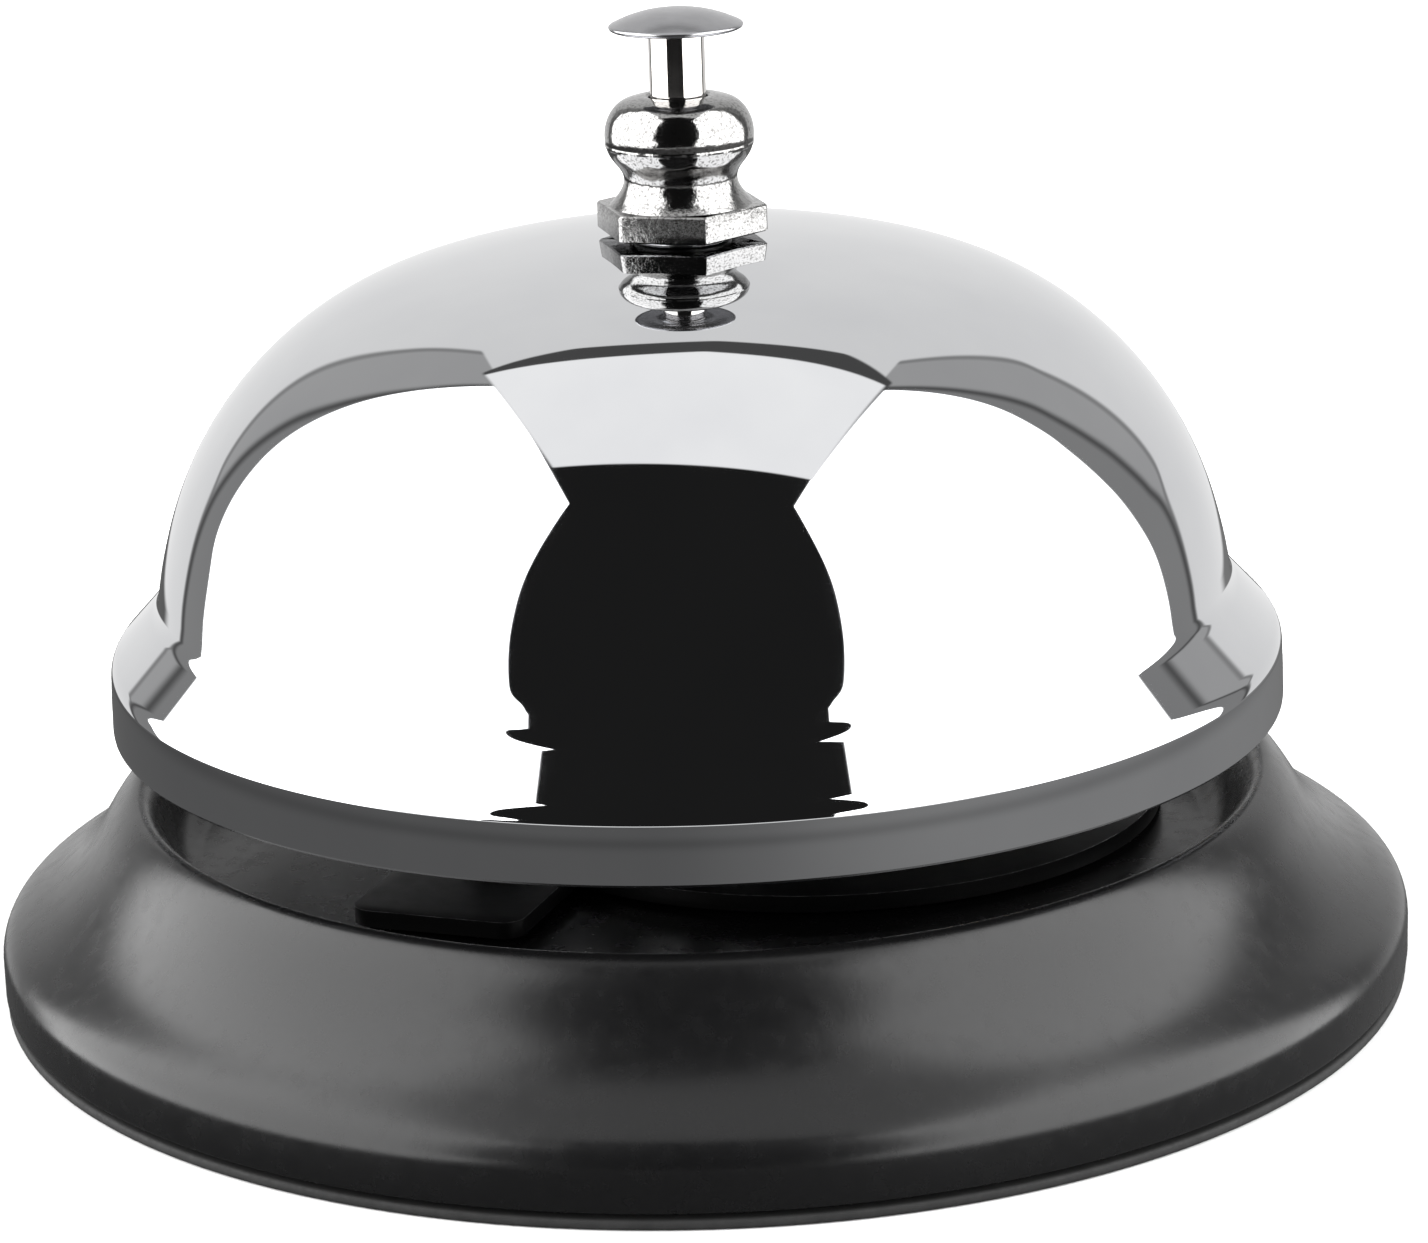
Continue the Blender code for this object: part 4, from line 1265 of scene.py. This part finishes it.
@dataclass
class Hammer(Assembly):
    """The rocking lever, the brass head on its long arm and the rivet between them."""

    body: Body = Body.HAMMER
    line: tuple[Point, ...] = (
        (-10.3, 2.05),
        (-7.6, 2.0),
        (-3.2, 0.9),
        (0.0, 0.0),
        (6.5, 0.12),
        (13.0, 0.3),
        (17.5, 0.8),
        (23.2, 0.8),
    )
    thickness: float = 1.2
    finger_half_width: float = 1.0
    arm_half_width: float = 1.7
    hub_radius: float = 1.8
    hub_half_length: float = 2.4
    bore: float = 0.9
    head_reach: float = 21.3
    head_radius: float = 2.3
    head_low: float = 1.7
    head_rise: float = 3.1
    rivet_radius: float = 0.75

    def lever(self) -> bpy.types.Object:
        """Draws the strip along its bent line, widens its long arm and adds the bored hub."""
        deselect_all()
        bpy.ops.mesh.primitive_plane_add(size=MM, rotation=(0.0, math.radians(90.0), 0.0))
        lever = named("hammer_rocker")
        settle(lever)
        start = self.line[0]
        with editing(lever):
            bpy.ops.mesh.select_all(action="SELECT")
            bpy.ops.transform.resize(value=(1.0, 2.0 * self.finger_half_width, self.thickness))
            bpy.ops.transform.translate(value=(start[0] * MM, 0.0, start[1] * MM))
            for before, after in pairwise(self.line):
                step = ((after[0] - before[0]) * MM, 0.0, (after[1] - before[1]) * MM)
                bpy.ops.mesh.extrude_region_move(TRANSFORM_OT_translate={"value": step})
                if before[0] < 0.0 <= after[0]:
                    widen = self.arm_half_width / self.finger_half_width
                    bpy.ops.transform.resize(value=(1.0, widen, 1.0))
            close_up()
        cut(lever, rod_form("hub_form", self.hub_radius, 2.0 * self.hub_half_length, crosswise()), Cut.JOIN)
        cut(lever, rod_form("hub_drill", self.bore, 12.0, crosswise()), Cut.DRILL)
        return soften(lever, 0.15)

    def head(self) -> bpy.types.Object:
        """Turns the brass head, domed where it strikes."""
        low, top = self.head_low, self.head_low + self.head_rise
        radius, socket = self.head_radius, self.rivet_radius + 0.2
        section = fair_curve(
            [(0.0, top), (1.2, top - 0.12), (1.95, top - 0.6), (radius, top - 1.35)],
            start=(1.0, 0.0),
            end=(0.0, -1.0),
            spacing=0.2,
        )
        section += [(radius, low + 1.1), (radius - 0.12, low + 1.0), (radius - 0.12, low + 0.8)]
        section += [(radius, low + 0.7), (radius, low + 0.3), (radius - 0.3, low), (socket, low)]
        return turn("striker_head", section + [(socket, low + 1.9), (0.0, low + 1.9)], 72)

    def rivet(self) -> bpy.types.Object:
        """Turns the rivet that holds the head, with its head under the arm."""
        under = self.line[-1][1] - 0.5 * self.thickness
        crown = fair_curve([(1.5, under - 0.1), (1.2, under - 0.55), (0.0, under - 0.8)], spacing=0.2)
        section = [(0.0, self.head_low + 1.6), (self.rivet_radius, self.head_low + 1.6)]
        section += [(self.rivet_radius, under), (1.5, under)]
        return turn("striker_rivet", section + crown, 48)

    def build(self, pivot: Pivot) -> None:
        """Models and fits the lever, head and rivet."""
        reach = pivot.matrix() @ Matrix.Translation((self.head_reach * MM, 0.0, 0.0))
        self.fit(place(self.lever(), pivot.matrix()), "hammer_lever", LEVER_STEEL, "lever_steel")
        self.fit(place(self.head(), reach), "hammer_head", BRASS, "hammer_brass")
        self.fit(place(self.rivet(), reach), "hammer_rivet", SEAT_STEEL, "hammer_rivet_steel")


def crosswise() -> Matrix:
    """Turn that lays a bar's length along Y."""
    return Matrix.Rotation(math.radians(90.0), 4, "X")


# ---------------------------------------------------------------------------------------------------------
# Studio
# ---------------------------------------------------------------------------------------------------------


def heading(azimuth: float, elevation: float) -> Vector:
    """Direction from the bell, in degrees: azimuth from the front, to the right, and height above level."""
    flat = math.cos(math.radians(elevation))
    turn_angle = math.radians(azimuth)
    return Vector(
        (flat * math.sin(turn_angle), -flat * math.cos(turn_angle), math.sin(math.radians(elevation)))
    )


class Sky:
    """Lays out the world's nodes: soft light panels of a tent, seen by direction only."""

    def __init__(self) -> None:
        """Starts an empty world."""
        self.world = bpy.data.worlds.new("light_tent")
        bpy.context.scene.world = self.world
        self.world.use_nodes = True
        self.tree = self.world.node_tree
        self.tree.nodes.clear()
        self.output = self.tree.nodes.new("ShaderNodeOutputWorld")
        self.way = self.tree.nodes.new("ShaderNodeTexCoord").outputs["Generated"]

    def math(self, operation: str, *inputs: Any) -> Any:
        """Adds a math node on numbers and outputs."""
        node = self.tree.nodes.new("ShaderNodeMath")
        node.operation = operation
        for i, value in enumerate(inputs):
            if isinstance(value, bpy.types.NodeSocket):
                self.tree.links.new(value, node.inputs[i])
            else:
                node.inputs[i].default_value = value
        return node.outputs[0]

    def along(self, axis: Vector, source: Any = None) -> Any:
        """Measures a direction along an axis."""
        node = self.tree.nodes.new("ShaderNodeVectorMath")
        node.operation = "DOT_PRODUCT"
        self.tree.links.new(source or self.way, node.inputs[0])
        node.inputs[1].default_value = axis
        return node.outputs["Value"]

    def ramp(self, source: Any, start: float, stop: float, low: float = 0.0, high: float = 1.0) -> Any:
        """Rises smoothly from low to high between two values of its source."""
        node = self.tree.nodes.new("ShaderNodeMapRange")
        node.interpolation_type = "SMOOTHSTEP"
        for key, value in (("From Min", start), ("From Max", stop), ("To Min", low), ("To Max", high)):
            node.inputs[key].default_value = value
        self.tree.links.new(source, node.inputs["Value"])
        return node.outputs["Result"]

    def panel(self, corners: Sequence[Vector], edge: float = 0.006) -> Any:
        """Masks the inside of a flat panel.

        Args:
            corners: Directions of its corners, clockwise as seen from the bell.
            edge: Softness of its edges.

        Returns:
            1 inside and 0 outside.
        """
        mask = None
        for i, corner in enumerate(corners):
            normal = corners[(i + 1) % len(corners)].cross(corner).normalized()
            side = self.ramp(self.along(normal), -edge, edge)
            mask = side if mask is None else self.math("MULTIPLY", mask, side)
        return mask

    def blend(self, mask: Any, over: Any, under: Any) -> Any:
        """Lays one brightness over another where a mask says."""
        gap = self.math("SUBTRACT", over, under)
        return self.math("MULTIPLY_ADD", gap, mask, under)

    def curve(self, source: Any, low: float, high: float, marks: Sequence[Point]) -> Any:
        """Looks a value up on a smooth curve.

        Args:
            source: The value to look up.
            low: Lowest value of the source.
            high: Highest value of the source.
            marks: Points of (source, result) that the curve passes.

        Returns:
            The curve's value.
        """
        results = [result for _, result in marks]
        base, span = min(results), max(results) - min(results)
        node = self.tree.nodes.new("ShaderNodeFloatCurve")
        line = node.mapping.curves[0]
        while len(line.points) < len(marks):
            line.points.new(0.5, 0.5)
        for point, (at, result) in zip(line.points, sorted(marks)):
            point.location = ((at - low) / (high - low), (result - base) / span)
        node.mapping.update()
        self.tree.links.new(self.ramp_straight(source, low, high), node.inputs["Value"])
        return self.math("MULTIPLY_ADD", node.outputs["Value"], span, base)

    def ramp_straight(self, source: Any, start: float, stop: float) -> Any:
        """Rises evenly from 0 to 1 between two values of its source."""
        node = self.tree.nodes.new("ShaderNodeMapRange")
        node.inputs["From Min"].default_value = start
        node.inputs["From Max"].default_value = stop
        self.tree.links.new(source, node.inputs["Value"])
        return node.outputs["Result"]

    def window(self, source: Any, start: float, stop: float, edge: float) -> Any:
        """Gives 1 between two values of its source, with soft ends."""
        rise = self.ramp(source, start - edge, start + edge)
        fall = self.ramp(source, stop - edge, stop + edge, 1.0, 0.0)
        return self.math("MULTIPLY", rise, fall)


@dataclass(frozen=True)
class TentSide:
    """One side of the light tent: its bright wall and the two cloth folds behind it.

    The wall's front and back edges and the folds are marks of (elevation, azimuth) on smooth curves, and the
    top edge is straight between two (azimuth, elevation) corners, all in degrees.
    """

    sign: float
    front: tuple[Point, ...]
    back: tuple[Point, ...]
    first_fold: tuple[Point, ...]
    second_fold: tuple[Point, ...]
    top: tuple[Point, Point]


@dataclass
class LightTent:
    """A soft white tent, open at the front, on a grey table; it gives all the light."""

    wall: float = 5.2
    roof: float = 1.3
    back: float = 0.95
    opening: float = 0.016
    table_left: float = 0.13
    table_right: float = 0.3
    table_top: float = -12.2
    table_edge: float = 1.2
    seam_shade: float = 0.3
    strip_dark: float = 0.3
    strip_light: float = 0.48
    fold_dark: float = 0.09
    fold_edges: Point = (0.9, 0.5)
    table_edge_span: Point = (-62.0, 60.0)
    table_edge_rise: Point = (-0.2, 1.4)
    seam: Point = (-15.6, -14.8)
    roof_front: tuple[Point, ...] = ((48.6, 62.3), (-64.5, 65.5))
    roof_back: tuple[Point, ...] = ((-142.5, 54.0), (177.0, 58.2), (127.5, 59.4))
    roof_shade: tuple[Point, ...] = (
        (-143.5, 53.2),
        (-165.0, 52.4),
        (176.0, 52.9),
        (152.0, 55.6),
        (129.0, 58.0),
    )
    left: TentSide = TentSide(
        sign=-1.0,
        front=(
            (-30.0, 43.0), (-8.0, 41.0), (-2.5, 34.0), (2.5, 35.5), (8.0, 39.2),
            (28.0, 41.2), (53.0, 42.6), (80.0, 50.0),
        ),
        back=(
            (-30.0, 125.0), (-3.0, 126.3), (5.0, 129.5), (17.0, 130.7),
            (35.0, 131.3), (53.0, 134.5), (80.0, 148.0),
        ),
        first_fold=(
            (-30.0, 134.0), (2.0, 138.0), (9.0, 137.3), (22.0, 135.0),
            (40.0, 132.8), (53.0, 135.0), (80.0, 148.0),
        ),
        second_fold=(
            (-30.0, 137.0), (2.0, 139.5), (7.0, 142.5), (19.0, 146.8),
            (32.0, 149.2), (45.0, 153.5), (80.0, 158.0),
        ),
        top=((-41.9, 57.3), (-137.5, 58.5)),
    )
    right: TentSide = TentSide(
        sign=1.0,
        front=(
            (-30.0, 24.0), (-8.0, 24.5), (-2.5, 24.5), (2.5, 27.0), (8.0, 30.2),
            (28.0, 32.5), (53.0, 33.9), (80.0, 42.0),
        ),
        back=(
            (-30.0, 117.0), (-3.0, 117.0), (14.0, 114.4), (24.0, 113.8),
            (33.0, 115.4), (44.0, 119.0), (60.0, 124.1), (80.0, 130.0),
        ),
        first_fold=(
            (-30.0, 127.5), (0.0, 128.0), (9.5, 125.1), (19.0, 122.9),
            (28.0, 122.0), (37.0, 123.2), (48.0, 124.0), (80.0, 132.0),
        ),
        second_fold=(
            (-30.0, 128.5), (2.0, 129.5), (9.0, 133.5), (23.0, 135.0),
            (30.0, 136.6), (37.0, 139.6), (80.0, 142.0),
        ),
        top=((35.2, 57.0), (120.0, 63.0)),
    )

    def side(self, sky: Sky, side: TentSide, azimuth: Any, elevation: Any, under: Any) -> Any:
        """Lays one side's folds and bright wall over what is behind them.

        Args:
            sky: The world's nodes.
            side: The side to lay.
            azimuth: Azimuth of the direction, in degrees, positive to the right.
            elevation: Its elevation, in degrees.
            under: The brightness so far.

        Returns:
            The new brightness.
        """
        around = sky.math("MULTIPLY", azimuth, side.sign)
        ahead, behind, first, second = (
            sky.math("SUBTRACT", around, sky.curve(elevation, -30.0, 80.0, line))
            for line in (side.front, side.back, side.first_fold, side.second_fold)
        )
        strip = sky.ramp(first, -1.0, 3.0, self.strip_dark, self.strip_light)
        light = sky.blend(sky.ramp(second, -1.2, 1.5), under, strip)
        for fold, width in zip((first, second), self.fold_edges):
            light = sky.blend(sky.window(fold, -width, width, 1.3), self.fold_dark, light)
        light = sky.blend(sky.ramp(behind, -0.5, 0.5), light, self.wall)
        low, high = (heading(*corner) for corner in side.top)
        normal = high.cross(low).normalized() * side.sign
        below_top = sky.ramp(sky.along(normal), -0.004, 0.004)
        inside = sky.math("MULTIPLY", sky.ramp(ahead, -0.25, 0.25), below_top)
        return sky.blend(inside, light, under)

    def build(self) -> None:
        """Builds the world."""
        sky = Sky()
        split = sky.tree.nodes.new("ShaderNodeSeparateXYZ")
        sky.tree.links.new(sky.way, split.inputs[0])
        across, away, up = (split.outputs[axis] for axis in "XYZ")
        toward = sky.math("MULTIPLY", away, -1.0)
        azimuth = sky.math("MULTIPLY", sky.math("ARCTAN2", across, toward), math.degrees(1.0))
        elevation = sky.math("MULTIPLY", sky.math("ARCSINE", up), math.degrees(1.0))
        light = sky.blend(sky.ramp(away, -0.1, 0.1), self.back, self.opening)
        light = self.side(sky, self.left, azimuth, elevation, light)
        light = self.side(sky, self.right, azimuth, elevation, light)
        for back_edge, brightness in ((self.roof_shade, self.fold_dark), (self.roof_back, self.roof)):
            corners = [heading(*corner) for corner in back_edge + self.roof_front]
            light = sky.blend(sky.panel(corners), brightness, light)
        table = sky.ramp(across, -0.2, 0.9, self.table_left, self.table_right)
        under_edge = sky.ramp(elevation, self.table_top - 0.6, self.table_top + 0.6, 1.0, 0.0)
        light = sky.blend(under_edge, table, light)
        near = sky.window(azimuth, *self.table_edge_span, 6.0)
        low, high = (self.table_top + rise for rise in self.table_edge_rise)
        edge = sky.window(elevation, low, high, 0.5)
        light = sky.blend(sky.math("MULTIPLY", near, edge), self.table_edge, light)
        seam = sky.math("MULTIPLY", sky.window(elevation, *self.seam, 0.7), self.seam_shade)
        light = sky.math("MULTIPLY", light, sky.math("SUBTRACT", 1.0, seam))
        glow = sky.tree.nodes.new("ShaderNodeBackground")
        sky.tree.links.new(light, glow.inputs["Strength"])
        paper = sky.tree.nodes.new("ShaderNodeBackground")
        eye = sky.tree.nodes.new("ShaderNodeLightPath")
        mix = sky.tree.nodes.new("ShaderNodeMixShader")
        sky.tree.links.new(eye.outputs["Is Camera Ray"], mix.inputs["Fac"])
        sky.tree.links.new(glow.outputs[0], mix.inputs[1])
        sky.tree.links.new(paper.outputs[0], mix.inputs[2])
        sky.tree.links.new(mix.outputs[0], sky.output.inputs["Surface"])
        for background in (glow, paper):
            background.inputs["Color"].default_value = (1.0, 1.0, 1.0, 1.0)


@dataclass
class Studio:
    """The floor and the camera."""

    floor_size: float = 8000.0
    distance: float = 273.0
    height: float = 101.36
    tilt: float = 16.419
    lean: float = 1.9
    lens: float = 119.5
    shift: Point = (0.01296, 0.00098)
    sensor: float = 36.0

    def floor(self) -> None:
        """Lays a pale floor with a barely seen grain."""
        deselect_all()
        bpy.ops.mesh.primitive_plane_add(size=self.floor_size * MM, location=(0.0, 0.0, -0.02 * MM))
        floor = named("floor")
        settle(floor)
        bench = NodeBench("pale_floor")
        bench.set(
            Base_Color=bench.tint(bench.noise(6.0), (0.83, 0.83, 0.83), (0.87, 0.87, 0.87)),
            Roughness=bench.spread(bench.noise(1.5), 0.8, 0.9),
            Specular_IOR_Level=0.2,
        )
        floor.data.materials.append(bench.material)
        floor.visible_glossy = False

    def camera(self) -> None:
        """Puts the camera in front of the bell and looks down on it."""
        lens = bpy.data.cameras.new("camera")
        lens.sensor_fit = "HORIZONTAL"
        lens.sensor_width = self.sensor
        lens.lens = self.lens
        lens.shift_x, lens.shift_y = self.shift
        lens.clip_start = 10.0 * MM
        camera = bpy.data.objects.new("camera", lens)
        bpy.context.scene.collection.objects.link(camera)
        camera.matrix_world = (
            Matrix.Translation((0.0, -self.distance * MM, self.height * MM))
            @ Matrix.Rotation(math.radians(90.0 - self.tilt), 4, "X")
            @ Matrix.Rotation(math.radians(-self.lean), 4, "Z")
        )
        bpy.context.scene.camera = camera

    def build(self) -> None:
        """Builds the stage and sets how its light is shown."""
        self.floor()
        self.camera()
        LightTent().build()
        bpy.context.scene.view_settings.view_transform = "Standard"


def main() -> None:
    """Builds the bell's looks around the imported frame."""
    logging.basicConfig(level=logging.INFO, format="%(name)s: %(message)s")
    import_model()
    Studio().build()
    pivot = Pivot()
    Base().build()
    StrikerPlate().build(pivot)
    Post().build(pivot)
    Gong().build()
    FinialNut().build()
    Plunger().build()
    ReturnSpring().build()
    HammerPin().build(pivot)
    Hammer().build(pivot)


if __name__ == "__main__":
    main()
